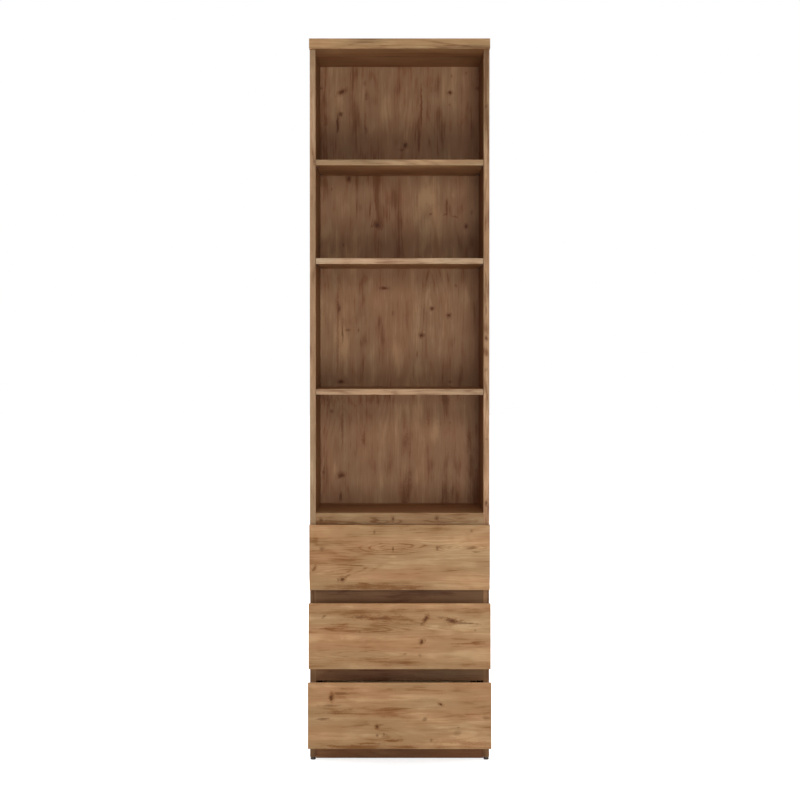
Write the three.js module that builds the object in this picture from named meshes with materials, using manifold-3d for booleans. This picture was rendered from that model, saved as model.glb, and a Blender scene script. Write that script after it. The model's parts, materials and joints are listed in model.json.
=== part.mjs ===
// A tall, narrow bookcase: four open compartments above three drawers without handles.
// Lengths are millimetres and +Z is up. The front of the bookcase looks along -Y.
// The origin lies on the floor, under the middle of the box that the bookcase fills
// as it stands in the photograph, with its two lower drawers pulled out a little.

import * as THREE from 'three';
import { mergeVertices } from 'three/addons/utils/BufferGeometryUtils.js';
import Module from 'manifold-3d';

const wasm = await Module();
wasm.setup();

// The case
const caseWidth = 498;
const sideDepth = 380;
const panelThickness = 16;
const topThickness = 28;
const topOverhang = 1;
const edgeEase = 0.6;

// What stands on the floor
const glideHeight = 9;
const glideRadius = 7.5;
const glideFootRadius = 5;
const glideRimHeight = 2.2;
const glideSetback = 12;
const plinthDrop = 4;
const plinthSetback = 5;

// The open compartments, from the lowest up
const compartmentHeights = [328, 347, 257, 304];
const shelfSideClearance = 1;
const shelfFrontSetback = 2;
const shelfRearClearance = 3;

// The pins that the shelves lie on
const pinRadius = 2.5;
const pinLength = 8;
const pinDrop = 0.5;
const pinTongueLength = 10;
const pinTongueWidth = 12;
const pinTongueThickness = 1.6;
const pinFrontSetback = 50;
const pinRearSetback = 60;

// The back, two thin panels in grooves, joined by a strip
const backThickness = 3;
const backInset = 9;
const backGrooveDepth = 6;
const backJointDrop = 15;
const joinStripSheet = 1.2;
const joinStripLap = 8;

// The drawers, from the top one down
const pulledOut = [0, 58, 103];
const frontHeight = 181;
const frontThickness = 18;
const frontGap = 30;
const frontClearance = 2;
const lowestFrontRise = 45;
const bottomPanelLap = 4;
const gripBevelHeight = 22;
const gripBevelDepth = 10;
const railLapBelow = 13;
const railLapAbove = 2;
const boxRearClearance = 20;
const boxRise = 27;
const boxTopDrop = 34;
const boxThickness = 12;
const boxBottomThickness = 3;
const boxBottomRise = 10;
const boxGrooveDepth = 5;

// The runners, a channel on the case and a slimmer one on the drawer inside it
const runnerSpace = 12.7;
const runnerHeight = 45;
const runnerSheet = 1.2;
const runnerSetback = 3;
const caseRunnerEndGap = 1.9;
const drawerRunnerEndGap = 2.5;
const runningGap = 0.4;

// Clearances, and how far a cut runs past the face that it opens
const fitGap = 0.3;
const cutOverrun = 1;

// Round shapes are faceted this finely
const glideSegments = 20;
const pinSegments = 12;

// Places that follow from the sizes above, with y = 0 at the front edges of the sides
const drawerCount = pulledOut.length;
const innerHalfWidth = caseWidth / 2 - panelThickness;
const frontWidth = caseWidth + 2 * topOverhang;
const frontProjection = frontClearance + frontThickness;
const frontPitch = frontHeight + frontGap;
const backFrontFace = sideDepth - backInset - backThickness;
const filledDepth = sideDepth + frontProjection + Math.max(...pulledOut);
const pinBelowShelf = pinRadius + pinDrop;
const plinthBottom = glideHeight - plinthDrop;
const plinthTop = frontBottomOf(drawerCount - 1) + bottomPanelLap;
const railHeight = railLapBelow + frontGap + railLapAbove;

const boxHalfWidth = innerHalfWidth - runnerSpace;
const boxLength = backFrontFace + frontClearance - boxRearClearance;
const boxHeight = frontHeight - boxRise - boxTopDrop;
const caseRunnerDepth = runnerSpace - caseRunnerEndGap;
const drawerRunnerDepth = runnerSpace - runnerSheet - drawerRunnerEndGap;
const drawerRunnerHeight = runnerHeight - 2 * (runnerSheet + runningGap);
const runnerRise = boxRise + boxHeight / 2;

function frontBottomOf(drawer) {
  return glideHeight + lowestFrontRise + (drawerCount - 1 - drawer) * frontPitch;
}

function railBottomAbove(drawer) {
  return frontBottomOf(drawer) + frontHeight - railLapBelow;
}

const compartmentFloorTop = railBottomAbove(0) + railHeight;
const backJointHeight = compartmentFloorTop - panelThickness - backJointDrop;

// The underside of each shelf, from the lowest up, and last that of the top board
const undersides = [];
let support = compartmentFloorTop;
for (const height of compartmentHeights) {
  undersides.push(support + height);
  support += height + panelThickness;
}
const sideTop = undersides.pop();
const pinDepths = [pinFrontSetback, backFrontFace - pinRearSetback];

// Finishes
function finish(color, roughness, metalness = 0) {
  return new THREE.MeshStandardMaterial({ color, roughness, metalness });
}

const finishes = {
  caseOak: finish(0xa2805b, 0.55),
  frontOak: finish(0xaf8c65, 0.5),
  backOak: finish(0x92704f, 0.6),
  drawerBoard: finish(0xb9ab97, 0.65),
  thinBoard: finish(0x9b8568, 0.7),
  zincSteel: finish(0x9ea2a5, 0.35, 0.9),
  brownPlastic: finish(0x664c38, 0.5),
  darkPlastic: finish(0x3a322c, 0.5),
};

// Solids: a three.js geometry for manifold-3d to cut, and back again
function toSolid(geometry) {
  const bare = geometry.clone();
  bare.deleteAttribute('normal');
  bare.deleteAttribute('uv');
  const merged = mergeVertices(bare);
  return new wasm.Manifold(new wasm.Mesh({
    numProp: 3,
    vertProperties: new Float32Array(merged.attributes.position.array),
    triVerts: new Uint32Array(merged.index.array),
  }));
}

function toGeometry(solid) {
  const mesh = solid.getMesh();
  const corners = new THREE.BufferAttribute(new Float32Array(mesh.vertProperties), mesh.numProp);
  const geometry = new THREE.BufferGeometry();
  geometry.setAttribute('position', corners);
  geometry.setIndex(new THREE.BufferAttribute(new Uint32Array(mesh.triVerts), 1));
  geometry.computeVertexNormals();
  return geometry;
}

// A box between two corners
function block(low, high) {
  const size = high.map((value, axis) => value - low[axis]);
  const geometry = new THREE.BoxGeometry(...size);
  return geometry.translate(...low.map((value, axis) => value + size[axis] / 2));
}

// A board between two corners, its edges eased all round as edge banding leaves them
function board(low, high) {
  const [width, depth, height] = high.map((value, axis) => value - low[axis]);
  const outline = new THREE.Shape();
  outline.moveTo(edgeEase, edgeEase);
  outline.lineTo(width - edgeEase, edgeEase);
  outline.lineTo(width - edgeEase, depth - edgeEase);
  outline.lineTo(edgeEase, depth - edgeEase);
  outline.closePath();
  const geometry = new THREE.ExtrudeGeometry(outline, {
    depth: height - 2 * edgeEase,
    bevelThickness: edgeEase,
    bevelSize: edgeEase,
    bevelSegments: 1,
  });
  return geometry.translate(low[0], low[1], low[2] + edgeEase);
}

// A section drawn in x and z, or in y and z, and drawn out along the third axis
function outlineOf(points) {
  return new THREE.Shape(points.map(([across, up]) => new THREE.Vector2(across, up)));
}

function sectionAlongY(points, start, length) {
  const geometry = new THREE.ExtrudeGeometry(outlineOf(points), { depth: length, bevelEnabled: false });
  return geometry.rotateX(Math.PI / 2).translate(0, start + length, 0);
}

function sectionAlongX(points, start, length) {
  const geometry = new THREE.ExtrudeGeometry(outlineOf(points), { depth: length, bevelEnabled: false });
  return geometry.rotateX(Math.PI / 2).rotateZ(Math.PI / 2).translate(start, 0, 0);
}

function cut(geometry, tools) {
  return toGeometry(tools.reduce((solid, tool) => solid.subtract(toSolid(tool)), toSolid(geometry)));
}

function join(geometries) {
  return toGeometry(geometries.map(toSolid).reduce((whole, piece) => whole.add(piece)));
}

function piece(name, geometry, material) {
  const mesh = new THREE.Mesh(geometry, material);
  mesh.name = name;
  return mesh;
}

// Left is -x and right is +x, as seen from the front
const hands = [['left', -1], ['right', 1]];

function across(side, inner, outer) {
  return side < 0 ? [-outer, -inner] : [inner, outer];
}

// The case: two sides with a groove for the back and blind holes for the shelf pins
function pinHole(side, y, underside) {
  const depth = pinLength + fitGap;
  const hole = new THREE.CylinderGeometry(
    pinRadius + fitGap, pinRadius + fitGap, depth + cutOverrun, pinSegments);
  hole.rotateZ(Math.PI / 2);
  const middle = innerHalfWidth + (depth - cutOverrun) / 2;
  return hole.translate(side * middle, y, underside - pinBelowShelf);
}

function sidePanel(side) {
  const [low, high] = across(side, innerHalfWidth, caseWidth / 2);
  const panel = board([low, 0, glideHeight], [high, sideDepth, sideTop]);
  const [grooveLow, grooveHigh] = across(side, innerHalfWidth - cutOverrun, innerHalfWidth + backGrooveDepth);
  const groove = block(
    [grooveLow, backFrontFace - fitGap, glideHeight - cutOverrun],
    [grooveHigh, backFrontFace + backThickness + fitGap, sideTop + cutOverrun]);
  const holes = undersides.flatMap((underside) => pinDepths.map((y) => pinHole(side, y, underside)));
  return cut(panel, [groove, ...holes]);
}

function topPanel() {
  const half = frontWidth / 2;
  const panel = board([-half, -frontProjection, sideTop], [half, sideDepth, sideTop + topThickness]);
  const grooveHalf = innerHalfWidth + backGrooveDepth;
  const groove = block(
    [-grooveHalf, backFrontFace - fitGap, sideTop - cutOverrun],
    [grooveHalf, backFrontFace + backThickness + fitGap, sideTop + backGrooveDepth]);
  return cut(panel, [groove]);
}

// A board that lies between the sides
function crossBoard(front, rear, bottom, top) {
  return board([-innerHalfWidth, front, bottom], [innerHalfWidth, rear, top]);
}

// A rail stands on edge between the sides, flush with their front edges
function rail(bottom) {
  return crossBoard(0, panelThickness, bottom, bottom + railHeight);
}

// The case's thin back, in two panels with a strip of H section between their edges
function backPanel(bottom, top) {
  const half = innerHalfWidth + backGrooveDepth - fitGap;
  return block([-half, backFrontFace, bottom], [half, backFrontFace + backThickness, top]);
}

function joinStrip() {
  const webHalf = joinStripSheet / 2;
  const slotFront = backFrontFace - fitGap;
  const slotRear = backFrontFace + backThickness + fitGap;
  const front = slotFront - joinStripSheet;
  const rear = slotRear + joinStripSheet;
  const lowerHalf = [
    [front, -joinStripLap], [slotFront, -joinStripLap], [slotFront, -webHalf],
    [slotRear, -webHalf], [slotRear, -joinStripLap], [rear, -joinStripLap],
  ];
  const upperHalf = lowerHalf.map(([y, z]) => [y, -z]).reverse();
  const length = 2 * (innerHalfWidth - fitGap);
  return sectionAlongX([...lowerHalf, ...upperHalf], -length / 2, length).translate(0, 0, backJointHeight);
}

// A nail-on glide under the end of a side panel, with a rounded rim and a flat foot
function glide() {
  const profile = [
    [0, 0], [glideFootRadius, 0],
    [(glideFootRadius + 3 * glideRadius) / 4, glideRimHeight / 4],
    [glideRadius, glideRimHeight], [glideRadius, glideHeight], [0, glideHeight],
  ];
  const geometry = new THREE.LatheGeometry(
    profile.map(([radius, z]) => new THREE.Vector2(radius, z)), glideSegments);
  return geometry.rotateX(Math.PI / 2);
}

// A shelf pin: a round peg in the side panel and a flat tongue under the shelf
function shelfPin(side) {
  const peg = new THREE.CylinderGeometry(pinRadius, pinRadius, pinLength + pinBelowShelf, pinSegments);
  peg.rotateZ(Math.PI / 2);
  peg.translate(side * (pinLength - pinBelowShelf) / 2, 0, -pinBelowShelf);
  const [low, high] = across(-side, fitGap, pinTongueLength);
  const tongue = block([low, -pinTongueWidth / 2, -pinTongueThickness], [high, pinTongueWidth / 2, 0]);
  return join([peg, tongue]);
}

function shelf(underside) {
  const half = innerHalfWidth - shelfSideClearance;
  return board(
    [-half, shelfFrontSetback, underside],
    [half, backFrontFace - shelfRearClearance, underside + panelThickness]);
}

function buildCase() {
  const group = new THREE.Group();
  for (const [hand, side] of hands) {
    group.add(piece(`side_panel_${hand}`, sidePanel(side), finishes.caseOak));
  }
  group.add(piece('top_panel', topPanel(), finishes.caseOak));

  const rearLimit = backFrontFace - fitGap;
  const floorBottom = compartmentFloorTop - panelThickness;
  const floor = crossBoard(panelThickness, rearLimit, floorBottom, compartmentFloorTop);
  group.add(piece('compartment_floor', floor, finishes.caseOak));
  group.add(piece('apron_rail', rail(railBottomAbove(0)), finishes.caseOak));
  for (let drawer = 1; drawer < drawerCount; drawer += 1) {
    group.add(piece(`drawer_rail_${drawer}`, rail(railBottomAbove(drawer)), finishes.caseOak));
  }

  const bottom = crossBoard(0, rearLimit, plinthTop, plinthTop + panelThickness);
  group.add(piece('bottom_panel', bottom, finishes.caseOak));
  const frontPlinth = crossBoard(
    plinthSetback, plinthSetback + panelThickness, plinthBottom, plinthTop);
  group.add(piece('plinth_front', frontPlinth, finishes.caseOak));
  const rearPlinth = crossBoard(rearLimit - panelThickness, rearLimit, plinthBottom, plinthTop);
  group.add(piece('plinth_rear', rearPlinth, finishes.caseOak));

  const jointHalf = joinStripSheet / 2 + fitGap;
  const upper = backPanel(backJointHeight + jointHalf, sideTop + backGrooveDepth - fitGap);
  const lower = backPanel(plinthTop, backJointHeight - jointHalf);
  group.add(piece('back_panel_upper', upper, finishes.backOak));
  group.add(piece('back_panel_lower', lower, finishes.backOak));
  group.add(piece('back_joining_strip', joinStrip(), finishes.brownPlastic));

  const glideX = caseWidth / 2 - panelThickness / 2;
  for (const [hand, side] of hands) {
    for (const [end, y] of [['front', glideSetback], ['rear', sideDepth - glideSetback]]) {
      const foot = piece(`glide_${end}_${hand}`, glide(), finishes.darkPlastic);
      foot.position.set(side * glideX, y, 0);
      group.add(foot);
    }
  }
  return group;
}

// Shelves and their pins. Shelf 1 is the highest
function buildShelves() {
  const group = new THREE.Group();
  undersides.forEach((underside, level) => {
    const number = undersides.length - level;
    group.add(piece(`shelf_${number}`, shelf(underside), finishes.caseOak));
    for (const [hand, side] of hands) {
      for (const [end, y] of [['front', pinDepths[0]], ['rear', pinDepths[1]]]) {
        const pin = piece(`shelf_${number}_pin_${end}_${hand}`, shelfPin(side), finishes.brownPlastic);
        pin.position.set(side * innerHalfWidth, y, underside);
        group.add(pin);
      }
    }
  });
  return group;
}

// A drawer front: a thick board whose top edge slopes away behind, for the fingers,
// with a stopped groove in its back face for the drawer bottom
function drawerFront() {
  const outer = -frontProjection;
  const inner = -frontClearance;
  const section = [
    [outer + edgeEase, 0], [inner, 0], [inner, frontHeight - gripBevelHeight],
    [inner - gripBevelDepth, frontHeight], [outer + edgeEase, frontHeight],
    [outer, frontHeight - edgeEase], [outer, edgeEase],
  ];
  const panel = sectionAlongX(section, -frontWidth / 2, frontWidth);
  const grooveHalf = boxHalfWidth - boxThickness + boxGrooveDepth;
  const grooveBottom = boxRise + boxBottomRise - fitGap;
  const groove = block(
    [-grooveHalf, inner - boxGrooveDepth, grooveBottom],
    [grooveHalf, inner + cutOverrun, grooveBottom + boxBottomThickness + 2 * fitGap]);
  return cut(panel, [groove]);
}

// A drawer side, grooved along its inner face for the drawer bottom
function drawerSide(side) {
  const inner = boxHalfWidth - boxThickness;
  const grooveBottom = boxRise + boxBottomRise - fitGap;
  const grooveTop = grooveBottom + boxBottomThickness + 2 * fitGap;
  const section = [
    [boxHalfWidth, boxRise], [boxHalfWidth, boxRise + boxHeight], [inner, boxRise + boxHeight],
    [inner, grooveTop], [inner + boxGrooveDepth, grooveTop],
    [inner + boxGrooveDepth, grooveBottom], [inner, grooveBottom], [inner, boxRise],
  ];
  return sectionAlongY(section.map(([x, z]) => [side * x, z]), -frontClearance, boxLength);
}

// A runner channel of C section: its web is at x = 0 and its flanges run to x = reach
function channelSection(height, reach) {
  const top = height / 2;
  const sheet = Math.sign(reach) * runnerSheet;
  return [
    [0, -top], [reach, -top], [reach, runnerSheet - top], [sheet, runnerSheet - top],
    [sheet, top - runnerSheet], [reach, top - runnerSheet], [reach, top], [0, top],
  ];
}

function runnerChannel(height, reach) {
  return sectionAlongY(channelSection(height, reach), 0, boxLength);
}

function buildDrawer(drawer) {
  const name = `drawer_${drawer + 1}`;
  const group = new THREE.Group();
  group.add(piece(`${name}_front`, drawerFront(), finishes.frontOak));
  const rear = boxLength - frontClearance;
  const inside = boxHalfWidth - boxThickness;
  const bottomZ = boxRise + boxBottomRise;
  for (const [hand, side] of hands) {
    group.add(piece(`${name}_side_${hand}`, drawerSide(side), finishes.drawerBoard));
    const channel = runnerChannel(drawerRunnerHeight, side * drawerRunnerDepth);
    const runner = piece(`${name}_runner_${hand}`, channel, finishes.zincSteel);
    runner.position.set(side * boxHalfWidth, -frontClearance, runnerRise);
    group.add(runner);
  }
  const back = board(
    [-inside, rear - boxThickness, bottomZ + boxBottomThickness],
    [inside, rear, boxRise + boxHeight]);
  group.add(piece(`${name}_back`, back, finishes.drawerBoard));
  const bottomHalf = inside + boxGrooveDepth - fitGap;
  const bottom = block(
    [-bottomHalf, fitGap - frontClearance - boxGrooveDepth, bottomZ],
    [bottomHalf, rear, bottomZ + boxBottomThickness]);
  group.add(piece(`${name}_bottom`, bottom, finishes.thinBoard));
  group.position.set(0, -pulledOut[drawer], frontBottomOf(drawer));
  return group;
}

// The channels on the case that a drawer runs in
function buildCaseRunners(drawer) {
  const group = new THREE.Group();
  for (const [hand, side] of hands) {
    const channel = runnerChannel(runnerHeight, -side * caseRunnerDepth);
    const runner = piece(`case_runner_${drawer + 1}_${hand}`, channel, finishes.zincSteel);
    runner.position.set(side * innerHalfWidth, runnerSetback, frontBottomOf(drawer) + runnerRise);
    group.add(runner);
  }
  return group;
}

const bookcase = new THREE.Group();
bookcase.add(buildCase(), buildShelves());
for (let drawer = 0; drawer < drawerCount; drawer += 1) {
  bookcase.add(buildCaseRunners(drawer), buildDrawer(drawer));
}
bookcase.position.y = filledDepth / 2 - sideDepth;

export default bookcase;
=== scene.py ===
# %% [markdown]
# # A narrow oak-effect bookcase with three bottom drawers
# The construction is a fixed frame of solids at their real size. Here every board, runner, shelf
# pin and glide becomes a mesh of its own with the edges, bands, screws and surfaces that the real
# piece has. Everything is in metres, +Z is up and the front looks along -Y.

# %% Load the frame and the tools
import json
import math

import bmesh
import bpy
from mathutils import Matrix, Vector


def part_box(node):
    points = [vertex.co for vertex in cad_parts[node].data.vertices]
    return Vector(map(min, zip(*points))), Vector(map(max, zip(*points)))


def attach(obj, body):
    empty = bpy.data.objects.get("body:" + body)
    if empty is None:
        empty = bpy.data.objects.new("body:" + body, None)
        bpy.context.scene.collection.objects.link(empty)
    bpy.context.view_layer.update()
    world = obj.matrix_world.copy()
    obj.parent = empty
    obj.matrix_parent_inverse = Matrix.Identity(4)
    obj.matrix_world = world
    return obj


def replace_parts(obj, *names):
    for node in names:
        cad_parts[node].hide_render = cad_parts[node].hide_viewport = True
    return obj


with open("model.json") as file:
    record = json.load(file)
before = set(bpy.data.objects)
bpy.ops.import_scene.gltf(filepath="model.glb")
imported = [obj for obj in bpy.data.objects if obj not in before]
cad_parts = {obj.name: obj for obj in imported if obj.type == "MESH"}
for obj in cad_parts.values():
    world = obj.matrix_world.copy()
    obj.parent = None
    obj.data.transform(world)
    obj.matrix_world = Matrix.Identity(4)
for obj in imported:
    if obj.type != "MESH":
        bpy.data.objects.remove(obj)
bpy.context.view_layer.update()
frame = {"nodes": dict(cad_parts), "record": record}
mm = 0.001
quarter_turn = math.radians(90)
nowhere = (0.0, 0.0, 0.0)
x_way, y_way, z_way = ways = ((1, 0, 0), (0, 1, 0), (0, 0, 1))
white = (1, 1, 1, 1)
body_of = {node: body for body, nodes in frame["record"]["behaviour"]["bodies"].items() for node in nodes}

# %% [markdown]
# ## Camera
# The photograph is a product view from the front with no converging uprights: a long lens, some
# six metres away, a little above the middle of the bookcase. The horizon can be read from the
# shelves: the underside shows on those above it, the top on those below. A level camera would
# need a large lens shift to centre the bookcase. A small shift and a tilt of less than a degree
# give nearly the same picture, and keep the bookcase centred when the camera moves round it.

# %% Camera
case_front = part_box("side_panel_left")[0].y
camera_distance = 5.965
camera_height = 1.150
camera_aside = 0.0011
camera_tilt = math.radians(0.884)

camera_data = bpy.data.cameras.new("Camera")
camera_data.lens = 96.74
camera_data.sensor_width = 36
camera_data.shift_y = -0.025
camera = bpy.data.objects.new("Camera", camera_data)
camera.location = (camera_aside, case_front - camera_distance, camera_height)
camera.rotation_euler = (quarter_turn - camera_tilt, 0, 0)
bpy.context.collection.objects.link(camera)
bpy.context.scene.camera = camera
bpy.context.scene.view_settings.view_transform = "Standard"
print("camera at", [round(value / mm) for value in camera.location], "mm")

# %% [markdown]
# ## Light
# The compartments tell where the photograph's light comes from. A narrow shade lies along their
# right sides, so it stands in front and a little to the right. The upper ones are darker below
# than above and the lowest is dark at both ends: so there is a strong lamp near the floor, a
# weaker one above eye level, and an even light from all round that fills the rest. Panels left,
# right, behind and above stand behind the front's plane: they keep the other sides readable and
# leave the compartments alone. Together they put about as much light on the fronts as lets a
# colour render as it is written.

# %% Lights
def soft_panel(name, place, aim, width, height, share):
    """An area lamp. share is how much of a fully lit white surface it alone gives at its aim."""
    reach = Vector(aim) - Vector(place)
    data = bpy.data.lights.new(name, "AREA")
    data.shape = "RECTANGLE"
    data.size = width
    data.size_y = height
    data.energy = share * math.pi ** 2 * reach.length ** 2
    lamp = bpy.data.objects.new(name, data)
    lamp.location = place
    lamp.rotation_euler = reach.to_track_quat("-Z", "Y").to_euler()
    bpy.context.collection.objects.link(lamp)


case_middle = (0, 0, 0.95)
low_aim = (0, case_front, 0.42)
high_aim = (0, case_front, 1.85)
# each lamp's place, what it aims at, its width, its height and its share of the light
lamps = {
    "low key": ((0.40, -3.55, 0.42), low_aim, 0.6, 0.8, 0.34),
    "high key": ((0.40, -3.55, 1.85), high_aim, 0.6, 0.5, 0.20),
    "left": ((-4.5, 0.9, 1.6), case_middle, 2.0, 2.5, 0.40),
    "right": ((4.5, 0.9, 1.6), case_middle, 2.0, 2.5, 0.40),
    "behind": ((0, 4.5, 1.4), case_middle, 3.0, 2.0, 0.40),
    "above": ((0, 0.2, 4.8), case_middle, 2.5, 2.5, 0.20)}
for name, settings in lamps.items():
    soft_panel(name, *settings)
print("lamps:", ", ".join(lamps))

# %% [markdown]
# ## A bench for materials
# Every finish below is a small network of nodes. Wiring them one link at a time hides what is
# computed, so a few helpers let a recipe be written as sums: each one adds a node to a tree and
# returns the socket that holds its result.

# %% A class that adds nodes
noise_middle = 0.5
# where the Mix node keeps its two inputs and its result, by the kind of data that it mixes
mix_sockets = {"RGBA": (6, 7, 2), "VECTOR": (4, 5, 1)}


class Bench:
    """Adds nodes to one tree, and wires or sets their inputs."""

    def __init__(self, tree):
        self.tree = tree

    def node(self, kind, inputs=None, **settings):
        made = self.tree.nodes.new(kind)
        for name, value in settings.items():
            setattr(made, name, value)
        for key, value in (inputs or {}).items():
            self.feed(made.inputs[key], value)
        return made

    def feed(self, socket, value):
        if isinstance(value, bpy.types.NodeSocket):
            self.tree.links.new(value, socket)
        else:
            socket.default_value = value

    def here(self):
        return self.node("ShaderNodeTexCoord").outputs["Object"]

    def math(self, operation, *values):
        return self.node("ShaderNodeMath", dict(enumerate(values)), operation=operation).outputs[0]

    def chain(self, operation, values):
        total = values[0]
        for value in values[1:]:
            total = self.math(operation, total, value)
        return total

    def add(self, *values):
        return self.chain("ADD", values)

    def times(self, *values):
        return self.chain("MULTIPLY", values)

    def highest(self, *values):
        return self.chain("MAXIMUM", values)

    def lowest(self, *values):
        return self.chain("MINIMUM", values)

    def less(self, value, taken):
        return self.math("SUBTRACT", value, taken)

    def vector(self, operation, *values):
        made = self.node("ShaderNodeVectorMath", dict(enumerate(values)), operation=operation)
        return made.outputs["Value" if operation in ("LENGTH", "DOT_PRODUCT") else "Vector"]

    def split(self, vector):
        return self.node("ShaderNodeSeparateXYZ", {0: vector}).outputs

    def combine(self, x, y, z):
        return self.node("ShaderNodeCombineXYZ", {"X": x, "Y": y, "Z": z}).outputs[0]

    def stretch(self, vector, along, across):
        """A place scaled by one number along the grain and another across it, ready for a noise."""
        return self.vector("MULTIPLY", vector, (along, across, across))

    def fade(self, value, start=0.0, end=1.0, low=0.0, high=1.0):
        """low at start, high at end, smooth between and steady outside."""
        inputs = {"Value": value, "From Min": start, "From Max": end, "To Min": low, "To Max": high}
        made = self.node("ShaderNodeMapRange", inputs, interpolation_type="SMOOTHSTEP")
        return made.outputs["Result"]

    def noise(self, vector, scale=1.0, detail=2.0, roughness=0.5):
        """A noise that wanders about zero, from about -0.5 to 0.5."""
        inputs = {"Vector": vector, "Scale": scale, "Detail": detail, "Roughness": roughness}
        made = self.node("ShaderNodeTexNoise", inputs, noise_dimensions="3D")
        return self.less(made.outputs["Fac"], noise_middle)

    def noise_colour(self, vector, scale=1.0):
        """A noise for each of three channels, which wander about a half."""
        return self.node("ShaderNodeTexNoise", {"Vector": vector, "Scale": scale}).outputs["Color"]

    def cells(self, vector):
        return self.node("ShaderNodeTexVoronoi", {"Vector": vector, "Scale": 1.0}, feature="F1").outputs

    def blend(self, kind, share, first, second, **settings):
        first_key, second_key, result = mix_sockets[kind]
        inputs = {0: share, first_key: first, second_key: second}
        return self.node("ShaderNodeMix", inputs, data_type=kind, **settings).outputs[result]

    def mix(self, share, first, second, way="MIX"):
        return self.blend("RGBA", share, first, second, blend_type=way)


# %% Helpers for materials and node groups
def new_material(name):
    material = bpy.data.materials.new(name)
    material.use_nodes = True
    return material, Bench(material.node_tree), material.node_tree.nodes["Principled BSDF"]


def set_surface(bench, shader, base_colour, roughness, relief, depth, height, sunk=False):
    """Wires a finish's colour, roughness and relief. A sunk relief lies below the surface."""
    bench.feed(shader.inputs["Base Color"], base_colour)
    bench.feed(shader.inputs["Roughness"], roughness)
    bump_inputs = {"Strength": relief, "Distance": depth, "Height": height}
    bump = bench.node("ShaderNodeBump", bump_inputs, invert=sunk)
    bench.feed(shader.inputs["Normal"], bump.outputs["Normal"])


def socket_kind(example):
    """A number, a vector or a colour, told from an example of it."""
    if isinstance(example, float):
        return "NodeSocketFloat"
    return "NodeSocketVector" if len(example) == len(nowhere) else "NodeSocketColor"


def new_group(name, inputs, outputs):
    """A shader node group whose sockets are named and given an example or a first value."""
    tree = bpy.data.node_groups.new(name, "ShaderNodeTree")
    for label, value in inputs.items():
        kind = socket_kind(value)
        tree.interface.new_socket(name=label, in_out="INPUT", socket_type=kind).default_value = value
    for label, example in outputs.items():
        tree.interface.new_socket(name=label, in_out="OUTPUT", socket_type=socket_kind(example))
    bench = Bench(tree)
    return tree, bench, bench.node("NodeGroupInput").outputs


def close_group(bench, results):
    bench.node("NodeGroupOutput", results)
    print("group", bench.tree.name + ":", len(bench.tree.nodes), "nodes")


def use_group(bench, tree, inputs):
    made = bench.node("ShaderNodeGroup", node_tree=tree)
    for key, value in inputs.items():
        bench.feed(made.inputs[key], value)
    return made.outputs


# %% [markdown]
# ## Floor and surroundings
# The photograph's ground and background are plain white, with only a trace of shade under the
# feet. The floor is a pale surface that also glows a little for the camera alone, so that it
# reaches white and still takes a soft shadow. The surroundings are a plain grey light for the
# object and white for the camera and for reflections.

# %% Floor and world
ambient_level = 0.39
floor_size = 60.0
floor_colour = (0.8, 0.8, 0.8, 1)
floor_glow = 0.80

world = bpy.data.worlds.new("Surroundings")
world.use_nodes = True
world.node_tree.nodes.clear()
bpy.context.scene.world = world
bench = Bench(world.node_tree)
rays = bench.node("ShaderNodeLightPath").outputs
seen = bench.highest(rays["Is Camera Ray"], rays["Is Glossy Ray"], rays["Is Transmission Ray"])
level = bench.fade(seen, low=ambient_level)
background = bench.node("ShaderNodeBackground", {"Color": white, "Strength": level})
bench.node("ShaderNodeOutputWorld", {"Surface": background.outputs[0]})

floor_shape = bmesh.new()
bmesh.ops.create_grid(floor_shape, x_segments=1, y_segments=1, size=floor_size / 2)
floor_mesh = bpy.data.meshes.new("floor")
floor_shape.to_mesh(floor_mesh)
floor_shape.free()
floor = bpy.data.objects.new("floor", floor_mesh)
bpy.context.collection.objects.link(floor)

floor_material, bench, shader = new_material("floor")
shader.inputs["Base Color"].default_value = floor_colour
shader.inputs["Roughness"].default_value = 1.0
shader.inputs["Specular IOR Level"].default_value = 0.0
shader.inputs["Emission Color"].default_value = white
seen = bench.node("ShaderNodeLightPath").outputs["Is Camera Ray"]
bench.feed(shader.inputs["Emission Strength"], bench.times(seen, floor_glow))
floor_mesh.materials.append(floor_material)
print("floor:", floor_size, "m wide")

# %% [markdown]
# ## Which way the grain runs
# Oak decor runs along a board, and an edge band's grain runs along the band. So each board first
# turns its place in metres into a grain place: X along the grain, Y and Z across it. On the two
# sawn ends the grain would point out of the surface. They carry a band of their own, whose grain
# runs across the board's, so the place is turned there. The face's direction comes from its normal.

# %% Group: grain place
end_turn = 0.7


def turned_place(bench, here, along, across):
    """The place measured along the grain, across it and through the board."""
    through = bench.vector("CROSS_PRODUCT", along, across)
    return bench.combine(*[bench.vector("DOT_PRODUCT", here, way) for way in (along, across, through)])


grain_tree, bench, entry = new_group(
    "Grain place", {"Along": x_way, "Across": z_way, "Start": nowhere},
    {"Place": nowhere, "Own Place": nowhere})
texture_place = bench.node("ShaderNodeTexCoord").outputs
along, across = entry["Along"], entry["Across"]
on_face = turned_place(bench, texture_place["Object"], along, across)
on_band = turned_place(
    bench, texture_place["Object"], across, bench.vector("CROSS_PRODUCT", along, across))
end_facing = bench.math("ABSOLUTE", bench.vector("DOT_PRODUCT", texture_place["Normal"], along))
is_end = bench.math("GREATER_THAN", end_facing, end_turn)
place = bench.blend("VECTOR", is_end, on_face, on_band)
close_group(bench, {"Place": place, "Own Place": bench.vector("ADD", place, entry["Start"])})

# %% [markdown]
# ## Ragged outlines
# Nothing in wood has the outline of a drawn ellipse. All the knots and marks of a board read a
# place that a noise has pushed about by a millimetre or two, which frays their outlines together.

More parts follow.
